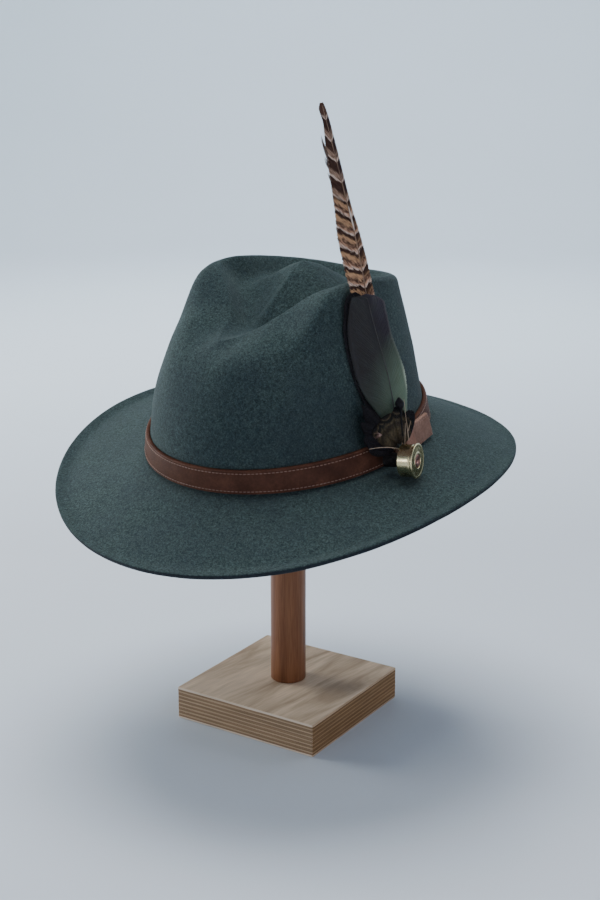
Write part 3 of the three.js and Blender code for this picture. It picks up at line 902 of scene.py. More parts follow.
def addVaneCore(heap, feather, at, edges, shaft):
    # thin closed sheet that the barbs lie on
    s = np.linspace(feather["rows"][0][0] + 0.3, feather["rows"][-1][0] - 0.5, 150)
    low, high = (shaft(s) + (edges[side](s) - shaft(s)) * feather["coreShare"] for side in (-1, 1))
    outline = [(u, 0.03) for u in np.linspace(0, 1, 13)] + [(u, -0.16) for u in np.linspace(1, 0, 13)]
    lines = [(low + (high - low) * u, lift) for u, lift in outline]
    points = [at(s, v, lift, shaft(s)) for v, lift in lines]
    uvs = [vaneUv(s, v, shaft(s)) for v, _ in lines]
    heap.add(woven(points), loftFaces(len(s), len(outline)), woven(uvs))


def makeLooseBarbs(material):
    at = sheetFrame(tailFeather)
    shaft = smoothColumn(tailFeather["rows"], 3)
    heap = Heap()
    r = np.linspace(0, 1, 9)
    for k, (start, end, bow) in enumerate(looseBarbs["rows"]):
        s = start[0] + (end[0] - start[0]) * r
        v = start[1] + (end[1] - start[1]) * r - bow * np.sin(math.pi * r)
        widths = looseBarbs["wide"] * (1.0 - 0.75 * r**1.5)
        lift = 0.25 + 0.13 * (k % 4) + 0.3 * r
        addBarb(heap, at, s, v, lift, widths, looseBarbs["thick"], shaft(s))
    makePiece("tailLooseBarbs", heap.points, heap.faces, material, uvs=heap.uvs)


def makeFeather(name, feather, material, shaftMaterial, nodeName, seed):
    at = sheetFrame(feather)
    rows = feather["rows"]
    first, last = rows[0][0], rows[-1][0]
    edges = {-1: smoothColumn(rows, 1), 1: smoothColumn(rows, 2)}
    shaft = smoothColumn(rows, 3)
    pitch, thick = feather["barbPitch"], feather["barbThick"]
    chance = random.Random(seed)
    heap = Heap()
    addVaneCore(heap, feather, at, edges, shaft)
    r = np.linspace(0.0, 1.0, 9)
    for side, sweep in zip((-1, 1), feather["sweep"]):
        s0 = first
        while s0 < last - 0.4:
            wide = abs(edges[side](s0 + 3) - shaft(s0 + 3))
            long = wide * sweep * chance.uniform(0.94, 1.06)
            s = np.minimum(s0 + long * r**0.85, last - 0.02 - 0.25 * (1 - r))
            full = 1 - chance.uniform(0.0, 0.03)
            v = shaft(s) + (edges[side](s) - shaft(s)) * r * full
            lift = chance.uniform(-0.2, 0.2) * thick + 0.06 * np.sin(math.pi * r)
            addBarb(heap, at, s, v, lift, pitch * (1.5 - 0.55 * r**1.5), thick, shaft(s))
            s0 += pitch * chance.uniform(0.9, 1.1)
    makePiece(name, heap.points, heap.faces, material, [nodeName], uvs=heap.uvs)
    s = np.linspace(first, last - 1.5, 60)
    start, end = feather["shaftRadius"]
    radii = start + (end - start) * (s - first) / (last - first)
    points, faces = tube(at(s, shaft(s), 0.12, shaft(s)), radii, 10)
    makePiece(name + "Shaft", points, faces, shaftMaterial)


tailLook = {
    "tan": (0.52, 0.305, 0.195),
    "gold": (0.52, 0.315, 0.170),
    "brown": (0.036, 0.016, 0.011),
    "umber": (0.070, 0.032, 0.022),
    "pale": (0.74, 0.60, 0.50),
    "dull": (0.36, 0.245, 0.175),
    "slate": (0.022, 0.018, 0.028),
    "tip": (0.085, 0.044, 0.032),
    # the bars: where the first begins and how far apart they are, low on the feather and near its tip
    "barFrom": 117.4,
    "barPitch": 11.0,
    "upperFrom": 172.3,
    "upperPitch": 13.2,
    # where the low pattern gives way to the upper one, and that to the tip
    "upperBlend": (164.0, 171.0),
    "tipBlend": (216.5, 219.0),
    # how far a bar climbs from the shaft outward
    "slopeFrom": 122.0,
    "slopeLow": 0.44,
    "slopeGain": 0.010,
    "rightSlope": 0.38,
    # how far a bar's edge strays, along the whole bar and from barb to barb
    "wander": 5.0,
    "ragged": 6.5,
    "barbSlope": 1.3,
}


def featherLengths(tree):
    # millimetres along the feather, across it from the shaft, and the distance from the shaft
    uv = splitVector(tree, node(tree, "ShaderNodeTexCoord").outputs["UV"])
    across = swing(tree, uv["X"], sheet["uvWide"])
    return times(tree, uv["Y"], sheet["uvLong"]), across, math2(tree, "ABSOLUTE", across)


def barbGrain(tree, along, away, sweep, fine, long):
    # streaks that run along the barbs
    barb = minus(tree, along, times(tree, away, sweep))
    joined = node(tree, "ShaderNodeCombineXYZ")
    tree.links.new(math2(tree, "DIVIDE", barb, fine), joined.inputs[0])
    tree.links.new(math2(tree, "DIVIDE", away, long), joined.inputs[1])
    return grain(tree, joined.outputs[0], 1.0, 2.0, 0.6)


def repeats(tree, value, first, pitch):
    # place within one repeat of a pattern, from 0 to 1
    turns = math2(tree, "DIVIDE", minus(tree, value, first), pitch)
    return math2(tree, "FRACT", plus(tree, turns, 20.0))


def tailMaterial():
    material, tree, shader = newMaterial("barredVane", {"Roughness": 0.65, "Specular IOR Level": 0.2})
    brown, umber, pale, tan = (tailLook[key] for key in ("brown", "umber", "pale", "tan"))
    gold, dull = tailLook["gold"], tailLook["dull"]
    along, across, away = featherLengths(tree)

    def barbs(fine, long):
        return barbGrain(tree, along, away, tailLook["barbSlope"], fine, long)

    right = math2(tree, "GREATER_THAN", across, 0.0)
    beyond = math2(tree, "MAXIMUM", minus(tree, along, tailLook["slopeFrom"]), 0.0)
    slope = plus(tree, times(tree, beyond, tailLook["slopeGain"]), tailLook["slopeLow"])
    slope = plus(tree, slope, times(tree, right, tailLook["rightSlope"]))
    level = minus(tree, along, times(tree, away, slope))
    wander = swing(tree, grain(tree, place(tree), 170), tailLook["wander"])
    ragged = plus(tree, wander, swing(tree, barbs(0.9, 4.0), tailLook["ragged"]))
    phase = repeats(tree, plus(tree, level, ragged), tailLook["barFrom"], tailLook["barPitch"])
    colour = ramp(tree, phase, [
        (0.0, brown), (0.20, brown), (0.24, pale), (0.30, pale), (0.36, tan), (0.60, tan), (0.82, gold),
        (0.95, gold), (0.99, brown),
    ])
    # broken middle bar of small strokes, and a few flecks everywhere
    middle = ramp(tree, phase, [(0.40, 0.0), (0.48, 1.0), (0.66, 1.0), (0.74, 0.0)])
    strokes = ramp(tree, barbs(0.62, 2.2), [(0.40, 0.0), (0.49, 0.95)])
    colour = blendColour(tree, times(tree, middle, strokes), colour, brown)
    colour = blendColour(tree, ramp(tree, barbs(0.8, 3.4), [(0.53, 0.0), (0.62, 0.85)]), colour, umber)
    # the narrow vane is darker between the bars
    dark = ramp(tree, phase, [(0.19, 1.0), (0.26, 0.0), (0.66, 0.0), (0.84, 1.0)])
    colour = blendColour(tree, times(tree, times(tree, dark, right), 0.9), colour, brown)
    # toward the tip: dark stretches, dull ones and pale chevrons between them
    calmer = plus(tree, level, times(tree, ragged, 0.55))
    upperPhase = repeats(tree, calmer, tailLook["upperFrom"], tailLook["upperPitch"])
    plume = ramp(tree, upperPhase, [(0.0, brown), (0.18, brown), (0.22, dull), (0.58, dull), (0.68, brown)])
    plume = blendColour(tree, ramp(tree, barbs(0.8, 2.4), [(0.47, 0.0), (0.56, 0.8)]), plume, umber)
    plume = blendColour(tree, times(tree, right, 0.4), plume, tailLook["slate"])
    chevron = ramp(tree, upperPhase, [(0.18, 0.0), (0.23, 0.85), (0.28, 0.85), (0.34, 0.0)])
    plume = blendColour(tree, chevron, plume, pale)
    colour = blendColour(tree, share(tree, along, *tailLook["upperBlend"]), colour, plume)
    tip = times(tree, share(tree, along, *tailLook["tipBlend"]), 0.92)
    colour = blendColour(tree, tip, colour, tailLook["tip"])
    colour = shaded(tree, colour, barbs(0.5, 6.0), [(0.32, 0.6), (0.68, 1.35)], 0.6)
    tree.links.new(colour, shader.inputs["Base Color"])
    return material


greenLook = {
    "charcoal": (0.0125, 0.0125, 0.0145),
    "purple": (0.020, 0.016, 0.028),
    "green": (0.112, 0.170, 0.120),
    "deepGreen": (0.036, 0.056, 0.044),
    # colour of the painted sheen low on the back vane's outer edge
    "rim": (0.36, 0.43, 0.34),
    # how far up the green reaches at the shaft, how much further toward the back, and how slowly it ends
    "greenTo": 74.0,
    "slant": 0.85,
    "blendLong": 36.0,
    "cloudScale": 90,
    # the purple bloom, the lighter green and the pale rim, a painted sheen: where each starts and is full
    "bloomAlong": (66.0, 92.0),
    "bloomAcross": (-2.0, 6.0),
    "greenAcross": (-14.0, 8.0),
    "sheenAlong": (62.0, 52.0),
    "sheenAcross": (11.2, 12.4),
}


def greenMaterial():
    material, tree, shader = newMaterial("greenVane", {
        "Roughness": 0.55, "Specular IOR Level": 0.3, "Sheen Weight": 0.06,
    })
    along, across, away = featherLengths(tree)

    def between(value, key):
        return share(tree, value, *greenLook[key])

    # a purple bloom on the back vane near the tip
    bloom = times(tree, between(along, "bloomAlong"), between(across, "bloomAcross"))
    dark = blendColour(tree, bloom, greenLook["charcoal"], greenLook["purple"])
    # the lowest part turns green, higher up on the back vane than on the front one
    line = plus(tree, times(tree, across, greenLook["slant"]), greenLook["greenTo"])
    lower = share(tree, minus(tree, line, along), 0.0, greenLook["blendLong"])
    uneven = swing(tree, grain(tree, place(tree), greenLook["cloudScale"]), 0.3)
    lower = math2(tree, "ADD", lower, uneven, clamp=True)
    green = blendColour(tree, between(across, "greenAcross"), greenLook["deepGreen"], greenLook["green"])
    # painted sheen: a pale strip along the outer edge of the back vane, low down
    rim = times(tree, between(across, "sheenAcross"), between(along, "sheenAlong"))
    green = blendColour(tree, times(tree, rim, 0.8), green, greenLook["rim"])
    colour = blendColour(tree, lower, dark, green)
    streak = barbGrain(tree, along, away, 1.2, 0.8, 9.0)
    colour = shaded(tree, colour, streak, [(0.35, 0.72), (0.65, 1.28)], 0.22)
    tree.links.new(colour, shader.inputs["Base Color"])
    return material


vaneLook = {
    # dark and light colour of each plain material, and its roughness
    "looseBarbs": ((0.030, 0.020, 0.018), (0.26, 0.18, 0.14), 0.5),
    "blackVane": ((0.004, 0.004, 0.006), (0.014, 0.013, 0.017), 0.5),
    "tuftBarbs": ((0.16, 0.10, 0.08), (0.36, 0.25, 0.21), 0.5),
    "bareShaft": ((0.60, 0.54, 0.48), (0.78, 0.72, 0.66), 0.5),
    # near black: a painted shade for the dark gap between the pin and the strap
    "shadeBlackBinding": ((0.004, 0.004, 0.005), (0.020, 0.018, 0.018), 0.7),
}

quillLook = {
    # dark and pale colour of each quill
    "creamQuill": ((0.38, 0.26, 0.17), (0.62, 0.50, 0.38)),
    "tanQuill": ((0.13, 0.07, 0.045), (0.30, 0.19, 0.12)),
    "darkQuill": ((0.016, 0.015, 0.016), (0.040, 0.036, 0.036)),
}


def plainVane(name):
    dark, light, roughness = vaneLook[name]
    material, tree, shader = newMaterial(name, {"Roughness": roughness, "Specular IOR Level": 0.15})
    streak = grain(tree, place(tree), 700, 3.0)
    tree.links.new(ramp(tree, streak, [(0.35, dark), (0.7, light)]), shader.inputs["Base Color"])
    return material


def quillMaterial(name):
    dark, pale = quillLook[name]
    material, tree, shader = newMaterial(name, {"Roughness": 0.38})
    streak = grain(tree, place(tree, (1, 1, 0.2)), 500)
    tree.links.new(ramp(tree, streak, [(0.3, dark), (0.6, pale)]), shader.inputs["Base Color"])
    return material


hackles = {
    # small feathers of the fan: across and along of the root, turn from straight up, length,
    # half width, lift from the sheet, how pointed
    "laced": (
        (3.0, 7.0, 20.0, 21.0, 5.0, -0.1, 0.6),
        (1.0, 6.6, -32.0, 25.5, 8.0, 0.2, 0.55),
        (2.0, 6.6, -8.0, 27.0, 10.4, 0.5, 0.42),
    ),
    # the black ones are dark hackles, and their black also paints the shade between the felt and the fan
    "black": (
        (-1.8, 7.4, -29.0, 40.5, 5.2, -0.5, 1.4),
        (-1.6, 7.4, -42.0, 33.0, 5.0, -0.4, 1.2),
        (-1.2, 7.4, -57.0, 26.0, 5.2, -0.3, 1.0),
        (-0.8, 7.4, -72.0, 21.0, 4.4, -0.2, 1.0),
        (3.4, 7.4, 24.0, 25.0, 5.4, -0.4, 0.9),
        (1.6, 7.4, 4.0, 28.5, 5.2, -0.4, 0.8),
    ),
    # the closed black one in the middle: across and along of its root, length, half width, lift
    "knob": (3.6, 16.0, 25.5, 5.0, 1.1),
    "barbPitch": 0.5,
    "barbThick": 0.2,
    "barbsFrom": 0.16,
}

quills = {
    # cream quills: start and end as (across, along, lift), their bend and radius
    "rows": (
        ((0.6, 8.4, 1.5), (-21.5, 14.4, 1.2), 1.2, 0.30),
        ((7.4, 12.0, 1.6), (8.6, 39.0, 0.9), 0.2, 0.20),
        ((3.6, 10.0, 1.8), (6.8, 24.0, 1.5), -0.3, 0.20),
        ((8.0, 18.0, 1.2), (11.6, 24.0, 1.0), -0.3, 0.24),
    ),
}

tufts = {
    # a few pinkish brown barbs showing between the hackles
    "at": (-11.0, 21.0, 0.9),
    "barbs": 14,
    "long": 6.4,
    "turnDeg": -80,
    "spreadDeg": 60.0,
    "radii": (0.12, 0.14, 0.13, 0.10, 0.05),
}


def addHackle(heap, at, row, chance):
    across, along, turnDeg, long, half, lift, point = row
    turn = math.radians(turnDeg)
    aheadS, aheadV = math.cos(turn), math.sin(turn)
    pitch, thick = hackles["barbPitch"], hackles["barbThick"]
    r = np.linspace(0.0, 1.0, 7)
    for side in (-1, 1):
        x0 = hackles["barbsFrom"] * long
        while x0 < long - 0.3:
            part = x0 / long
            full = half * math.sin(math.pi * min(1.0, part * 0.86 + 0.1)) ** point
            room = long - x0
            forward = np.minimum(full * 1.15, room * 0.9) * r**0.9
            out = side * full * r * np.sqrt(np.clip(1 - (forward / max(room * 1.6, 0.1)) ** 2, 0.05, 1))
            x = x0 + forward
            s = along + x * aheadS - out * aheadV
            v = across + x * aheadV + out * aheadS
            rise = lift + 0.5 * (x / long) - 0.5 * (np.abs(out) / half) ** 2 + chance.uniform(-0.04, 0.04)
            lines = stripLines(s, v, pitch * (1.5 - 0.8 * r))
            points = [at(ss, vv, rise + high * thick) for (_, high), (ss, vv) in zip(barbShape, lines)]
            uvs = [np.stack([0.5 + side * r / 2, np.full(len(r), part)], axis=-1)] * len(points)
            heap.add(woven(points), loftFaces(len(r), 3, turned=side > 0), woven(uvs))
            x0 += pitch * chance.uniform(0.9, 1.1)


def makeKnob(at, material):
    across, along, long, half, lift = hackles["knob"]
    s = np.linspace(0, 1, 32)
    path = at(along + long * s, across + 0.9 * np.sin(2.2 * s), lift + 0.3 * s)
    radii = 0.45 + half * 0.5 * np.exp(-((s - 0.84) / np.where(s > 0.84, 0.12, 0.16)) ** 2)
    points, faces = tube(path, radii * np.where(s > 0.97, 0.6, 1.0), 12)
    makePiece("hackleKnob", points, faces, material)


def makeQuills(at, material):
    heap = Heap()
    u = np.linspace(0, 1, 12)
    for start, end, bend, radius in quills["rows"]:
        v, s, lift = (low + (high - low) * u for low, high in zip(start, end))
        heap.add(*tube(at(s + bend * np.sin(math.pi * u), v, lift), radius * (1.0 - 0.5 * u), 7))
    makePiece("hackleQuills", heap.points, heap.faces, material)


def makeTuft(at, material, chance):
    heap = Heap()
    across, along, lift = tufts["at"]
    for k in range(tufts["barbs"]):
        fan = tufts["spreadDeg"] * (k / (tufts["barbs"] - 1) - 0.5)
        turn = math.radians(tufts["turnDeg"] + fan + chance.uniform(-4, 4))
        u = np.linspace(0, tufts["long"] * chance.uniform(0.6, 1.0), 5)
        path = at(along + u * math.cos(turn), across + u * math.sin(turn), lift + 0.12 * u)
        heap.add(*tube(path, tufts["radii"], 5))
    makePiece("hackleTuft", heap.points, heap.faces, material)


def makeHackles(laced, black, quill, tuft):
    at = sheetFrame(hackleSheet)
    chance = random.Random(5)
    for name, rows, material, nodes in (
        ("hackleFan", hackles["laced"], laced, ["hackle_fan"]), ("hackleLobes", hackles["black"], black, []),
    ):
        heap = Heap()
        for row in rows:
            addHackle(heap, at, row, chance)
        makePiece(name, heap.points, heap.faces, material, nodes, uvs=heap.uvs)
    makeKnob(at, black)
    makeQuills(at, quill)
    makeTuft(at, tuft, chance)


bareShaft = {"from": 145.5, "to": 161.0, "lift": 0.75, "radius": 0.42}


def makeBareShaft(material):
    # stretch of the tail feather's shaft that lies bare
    at = sheetFrame(tailFeather)
    shaft = smoothColumn(tailFeather["rows"], 3)
    s = np.linspace(bareShaft["from"], bareShaft["to"], 20)
    u = np.linspace(0, 1, 20)
    radii = bareShaft["radius"] * (0.35 + 0.65 * np.sin(math.pi * u) ** 0.6)
    points, faces = tube(at(s, shaft(s), bareShaft["lift"], shaft(s)), radii, 8)
    makePiece("tailBareShaft", points, faces, material)


hackleLook = {
    "rim": (0.004, 0.004, 0.004),
    "olive": (0.075, 0.060, 0.034),
    "centre": (0.020, 0.015, 0.010),
    # how much the arcs follow the place across and along the barbs, and how far they stray
    "acrossReach": 0.42,
    "alongReach": 0.72,
    "wander": 0.06,
    "wanderScale": 300,
    "streakScale": 900,
}


def hackleMaterial():
    material, tree, shader = newMaterial("lacedVane", {"Roughness": 0.5, "Specular IOR Level": 0.2})
    rim, olive, centre = (hackleLook[key] for key in ("rim", "olive", "centre"))
    uv = splitVector(tree, node(tree, "ShaderNodeTexCoord").outputs["UV"])
    vector = place(tree)
    # dark arcs round the root, with olive between them
    side = times(tree, math2(tree, "ABSOLUTE", minus(tree, uv["X"], 0.5)), 2.0)
    climb = times(tree, uv["Y"], hackleLook["alongReach"])
    reach = math2(tree, "MULTIPLY_ADD", side, hackleLook["acrossReach"], climb)
    stray = grain(tree, vector, hackleLook["wanderScale"], 1.0)
    reach = plus(tree, reach, times(tree, stray, hackleLook["wander"]))
    colour = ramp(tree, reach, [
        (0.20, centre), (0.42, olive), (0.56, centre), (0.62, olive), (0.68, rim), (0.76, rim), (0.80, olive),
        (0.86, centre), (0.90, rim),
    ])
    streak = grain(tree, vector, hackleLook["streakScale"])
    colour = shaded(tree, colour, streak, [(0.35, 0.4), (0.65, 1.6)], 0.7)
    tree.links.new(colour, shader.inputs["Base Color"])
    return material


print("feathers")
darkQuill = quillMaterial("darkQuill")
blackVane = plainVane("blackVane")
tanQuill = quillMaterial("tanQuill")
makeFeather("tailFeather", tailFeather, tailMaterial(), tanQuill, "tail_feather", 11)
makeLooseBarbs(plainVane("looseBarbs"))
makeFeather("underFeather", underFeather, blackVane, darkQuill, "under_feather", 12)
makeFeather("greenFeather", greenFeather, greenMaterial(), darkQuill, "green_feather", 13)
makeHackles(hackleMaterial(), blackVane, quillMaterial("creamQuill"), plainVane("tuftBarbs"))
makeBareShaft(plainVane("bareShaft"))


# cartridge-head pin

pin = {
    "rimAt": (116.0, -9.6, 9.5),
    "axisDeg": (15.7, 4.2),
    "long": 10.5,
    "radius": 10.25,
    "rimRadius": 11.2,
    "rimThick": 1.5,
    "primerRadius": 4.1,
    "primerGap": 0.3,
    "pocketDeep": 2.2,
    "backRadius": 4.6,
    "backLong": 14.0,
    "backGap": 0.3,
    "threadTurns": 22,
    "sides": 128,
}


def pinAxis():
    around, rise = (math.radians(a) for a in pin["axisDeg"])
    return np.array([math.cos(around) * math.cos(rise), math.sin(around) * math.cos(rise), math.sin(rise)])


def turnedOnPin(profile, back):
    # profile of (radius, height along the pin's axis), from axis to axis
    axis = pinAxis()
    side = unit(np.cross([0, 0, 1], axis))
    up = np.cross(axis, side)
    base = np.array(pin["rimAt"]) - axis * back
    sides = pin["sides"]
    points = []
    faces = []
    for r, z in profile[1:-1]:
        for k in range(sides):
            a = 2 * math.pi * k / sides
            points.append(base + axis * z + r * (math.cos(a) * side + math.sin(a) * up))
    rings = len(profile) - 2
    for j in range(rings - 1):
        for k in range(sides):
            n = (k + 1) % sides
            faces.append((j * sides + k, j * sides + n, (j + 1) * sides + n, (j + 1) * sides + k))
    low = len(points)
    points += [base + axis * profile[0][1], base + axis * profile[-1][1]]
    for k in range(sides):
        n = (k + 1) % sides
        faces.append((low, n, k))
        faces.append((low + 1, (rings - 1) * sides + k, (rings - 1) * sides + n))
    return points, faces


def arcProfile(centre, radius, fromDeg, toDeg, steps):
    return [
        (centre[0] + radius * math.cos(math.radians(a)), centre[1] + radius * math.sin(math.radians(a)))
        for a in np.linspace(fromDeg, toDeg, steps)
    ]


def makeShell(material):
    long, r, rim = pin["long"], pin["radius"], pin["rimRadius"]
    rimFrom = long - pin["rimThick"]
    pocket = pin["primerRadius"] + pin["primerGap"]
    floor = long - pin["pocketDeep"]
    profile = [(0, 0.0), (r - 0.6, 0.0), *arcProfile((r - 0.4, 0.4), 0.4, -70, 0, 4)]
    profile += [(r, 1.2), (r - 0.06, 1.5), (r, 1.8), (r, 2.0), (r, 2.4), (r, 4.5), (r, rimFrom - 2.3)]
    profile += [(r, rimFrom - 1.9), (r, rimFrom - 1.6), (r - 0.15, rimFrom - 1.3)]
    profile += [(r - 0.55, rimFrom - 0.8), (r - 0.55, rimFrom - 0.2), (r - 0.2, rimFrom + 0.02)]
    profile += arcProfile((rim - 0.72, rimFrom + 0.72), 0.72, -85, 90, 12)
    lip = ((1.2, 0.02), (1.7, 0.22), (2.1, 0.28), (2.3, 0.28))
    profile += [(rim - inward, long - deep) for inward, deep in lip]
    profile += [(pocket + out, long - deep) for out, deep in ((1.9, 0.28), (1.6, 0.28), (1.2, 0.12))]
    profile += arcProfile((pocket + 0.5, long - 0.42), 0.5, 80, 180, 7)
    points, faces = turnedOnPin([*profile, (pocket, floor), (0, floor)], long)
    makePiece("cartridgeHead", points, faces, material, ["cartridge_head"])


def makePrimer(material):
    deep = pin["pocketDeep"] - pin["primerGap"]
    r = pin["primerRadius"]
    profile = [(0, 0.0), (r - 0.2, 0.0), (r, 0.2), (r, deep - 0.7)]
    profile += arcProfile((r - 0.6, deep - 0.6), 0.6, 0, 90, 7)
    profile += [(2.7, deep - 0.02), (2.45, deep - 0.12), (2.3, deep - 0.12), (1.8, deep - 0.05)]
    dimple = arcProfile((0.0, deep + 0.55), 1.5, -28, -90, 7)[1:]
    points, faces = turnedOnPin([*profile, *dimple[:-1], (0, dimple[-1][1])], deep)
    makePiece("primerCap", points, faces, material, ["primer"])


def makeBinding(material):
    r, long, turns = pin["backRadius"], pin["backLong"], pin["threadTurns"]
    profile = [(0, 2.2), (r - 1.4, 2.2)]
    for k in range(turns * 4 + 1):
        z = 2.6 + (long - 2.9) * k / (turns * 4)
        profile.append((r - 0.35 + 0.28 * abs(math.sin(math.pi * k / 4)), z))
    points, faces = turnedOnPin([*profile, (r - 1.0, long), (0, long)], pin["long"] + pin["backGap"] + long)
    makePiece("rootBinding", points, faces, material, ["pin_back"])


metalLook = {
    # colour, darker colour, roughness, and the colour of the patina on the face
    "shellBrass": ((0.76, 0.66, 0.39), (0.70, 0.60, 0.34), 0.24, (0.36, 0.30, 0.13)),
    "primerCopper": ((0.55, 0.28, 0.23), (0.30, 0.13, 0.11), 0.28, None),
    "cloudScale": 240,
    "fineScale": 2200,
    "blotchScale": 620,
    # the ring that the patina lies on, by distance from the axis: where it starts and is full
    "patinaIn": (5.6, 6.1),
    "patinaOut": (9.5, 9.0),
}


def metalMaterial(name):
    colour, darker, roughness, worn = metalLook[name]
    material, tree, shader = newMaterial(name, {"Metallic": 1.0})
    vector = place(tree)
    cloud = grain(tree, vector, metalLook["cloudScale"], 3.0, 0.6)
    tint = ramp(tree, cloud, [(0.32, darker), (0.6, colour)])
    if worn is not None:
        tint = blendColour(tree, patina(tree, vector), tint, worn)
    tree.links.new(tint, shader.inputs["Base Color"])
    gloss = ramp(tree, cloud, [(0.3, roughness + 0.04), (0.65, roughness)])
    tree.links.new(gloss, shader.inputs["Roughness"])
    bump(tree, shader, grain(tree, vector, metalLook["fineScale"]), 0.00004, 0.4)
    return material


def vectorMath(tree, operation, vector, fixed=(0, 0, 0)):
    made = node(tree, "ShaderNodeVectorMath", operation=operation)
    made.inputs[1].default_value = fixed
    tree.links.new(vector, made.inputs[0])
    return made.outputs


def patina(tree, vector):
    # blotches on the flat ring between the rim and the primer
    pose = poseMatrix()
    centre = (pose @ Vector(pin["rimAt"])) * mm
    axis = (pose.to_3x3() @ Vector(pinAxis())).normalized()
    away = vectorMath(tree, "SUBTRACT", vector, centre)[0]
    size = vectorMath(tree, "LENGTH", vectorMath(tree, "CROSS_PRODUCT", away, axis)[0])["Value"]
    depth = vectorMath(tree, "DOT_PRODUCT", away, axis)["Value"]
    radius = times(tree, size, 1000.0)
    inner, outer = (share(tree, radius, *metalLook[key]) for key in ("patinaIn", "patinaOut"))
    onFace = math2(tree, "GREATER_THAN", depth, -0.6 * mm)
    blotch = ramp(tree, grain(tree, vector, metalLook["blotchScale"], 2.0, 0.6), [(0.42, 0.0), (0.52, 0.9)])
    return times(tree, times(tree, times(tree, inner, outer), onFace), blotch)


print("cartridge-head pin")
makeShell(metalMaterial("shellBrass"))
makePrimer(metalMaterial("primerCopper"))
makeBinding(plainVane("shadeBlackBinding"))


# stand

stand = {
    "side": 114.0,
    "high": 24.0,
    "yawDeg": 7.9,
    "ease": 1.0,
    "cornerRound": 1.0,
    "plies": 17,
    # how far the plies stand back, and every second one more, and the height and depth of the glue lines
    "plyUneven": 0.10,
    "plySecond": 0.06,
    "glueGap": 0.10,
    "glueDeep": 0.10,
    "postRadius": 12.5,
    "postTop": 277.9,
    "headRadius": 34.0,
    "headHigh": 22.0,
    "headDome": 9.0,
    "gap": 0.3,
    "sideSteps": 22,
    "turnedSides": 96,
}


def squareLoop(half, z, corner):
    # square with rounded corners, walked anticlockwise
    flat = half - corner
    arcs = []
    for k, (x, y) in enumerate(((1, -1), (1, 1), (-1, 1), (-1, -1))):
        angles = [math.radians(90 * (k - 1) + 90 * j / 4) for j in range(5)]
        arcs.append([(flat * x + corner * math.cos(a), flat * y + corner * math.sin(a)) for a in angles])
    steps = stand["sideSteps"]
    loop = []
    for arc, following in zip(arcs, arcs[1:] + arcs[:1]):
        (x, y), (toX, toY) = arc[-1], following[0]
        loop += arc
        loop += [(x + (toX - x) * j / steps, y + (toY - y) * j / steps) for j in range(1, steps)]
    return [(x, y, z) for x, y in loop]


def makeBase(material):
    half = stand["side"] / 2
    high = stand["high"]
    ease = stand["ease"]
    pitch = high / stand["plies"]
    chance = random.Random(3)
    levels = [(half - ease, 0.0), (half - ease * 0.3, ease * 0.3), (half, ease)]
    for k in range(stand["plies"]):
        out = half - (chance.uniform(0.0, stand["plyUneven"]) + (stand["plySecond"] if k % 2 else 0.0))
        low = max(k * pitch + stand["glueGap"], ease + 0.05)
        top = min((k + 1) * pitch - stand["glueGap"], high - ease - 0.05)
        if top > low:
            levels += [(out, low), (out, top), (out - stand["glueDeep"], top + 0.09)]
    levels = [level for level in levels if level[1] <= high - ease]
    levels += [(half, high - ease), (half - ease * 0.3, high - ease * 0.3), (half - ease, high)]
    # closing squares below and above
    insets = (0.3, 0.55, 0.8)
    levels = [*((half * k, 0.0) for k in insets), *levels, *((half * k, high) for k in insets[::-1])]
    loops = [squareLoop(h, z, stand["cornerRound"]) for h, z in levels]
    turn = Matrix.Rotation(math.radians(stand["yawDeg"]), 3, "Z")
    points = np.concatenate(loops) @ np.array(turn).T
    faces = loftFaces(len(loops), len(loops[0]))
    makePiece("plyBase", points, faces, material, ["stand_base"], onTheHat=False, smooth=False)


def makeTurned(name, profile, material, nodeName):
    # piece turned on the stand's upright axis, from a profile of (radius, height)
    sides = stand["turnedSides"]
    circle = [2 * math.pi * k / sides for k in range(sides)]
    points = [(r * math.cos(a), r * math.sin(a), z) for r, z in profile for a in circle]
    makePiece(name, points, loftFaces(len(profile), sides), material, [nodeName], onTheHat=False)


def makePost(material):
    low = stand["high"] + stand["gap"]
    top = stand["postTop"]
    r = stand["postRadius"]
    profile = [(r - 0.5, low), (r, low + 0.5)]
    for k in range(1, 24):
        profile.append((r + 0.03 * math.sin(k * 2.1), low + 0.5 + (top - low - 1.0) * k / 24))
    profile += [(r, top - 0.5), (r - 0.5, top)]
    makeTurned("dowelPost", profile, material, "stand_post")


def makePostHead(material):
    low = stand["postTop"] + stand["gap"]
    r = stand["headRadius"]
    side = stand["headHigh"] - stand["headDome"]
    profile = [(6, low), (r - 2, low), (r - 0.6, low + 0.6), (r, low + 2), (r, low + side)]
    for k in range(1, 13):
        a = math.radians(88 * k / 12)
        profile.append((r * math.cos(a), low + side + stand["headDome"] * math.sin(a)))
    makeTurned("postHead", profile, material, "stand_head")


plyLook = {
    "face": (0.74, 0.585, 0.430),
    "faceDark": (0.36, 0.265, 0.180),
    "skin": (0.60, 0.51, 0.41),
    "light": (0.375, 0.272, 0.175),
    "mid": (0.245, 0.162, 0.098),
    "glue": (0.070, 0.036, 0.020),
    # colour laid over the two sides that face along X, a painted shade
    "sideShade": (0.82, 0.70, 0.54),
    # how far the plies wave, and how thick the pale outermost ones are, in metres
    "wave": 0.0005,
    "waveScale": 25,
    "skinThick": (0.0017, 0.0015),
    # stretched patterns: streaks along the plies, and the figure and the fine grain of the top
    "streakScale": (30, 30, 900),
    "figureScale": (60, 9, 60),
    "fineScale": (900, 60, 900),
}


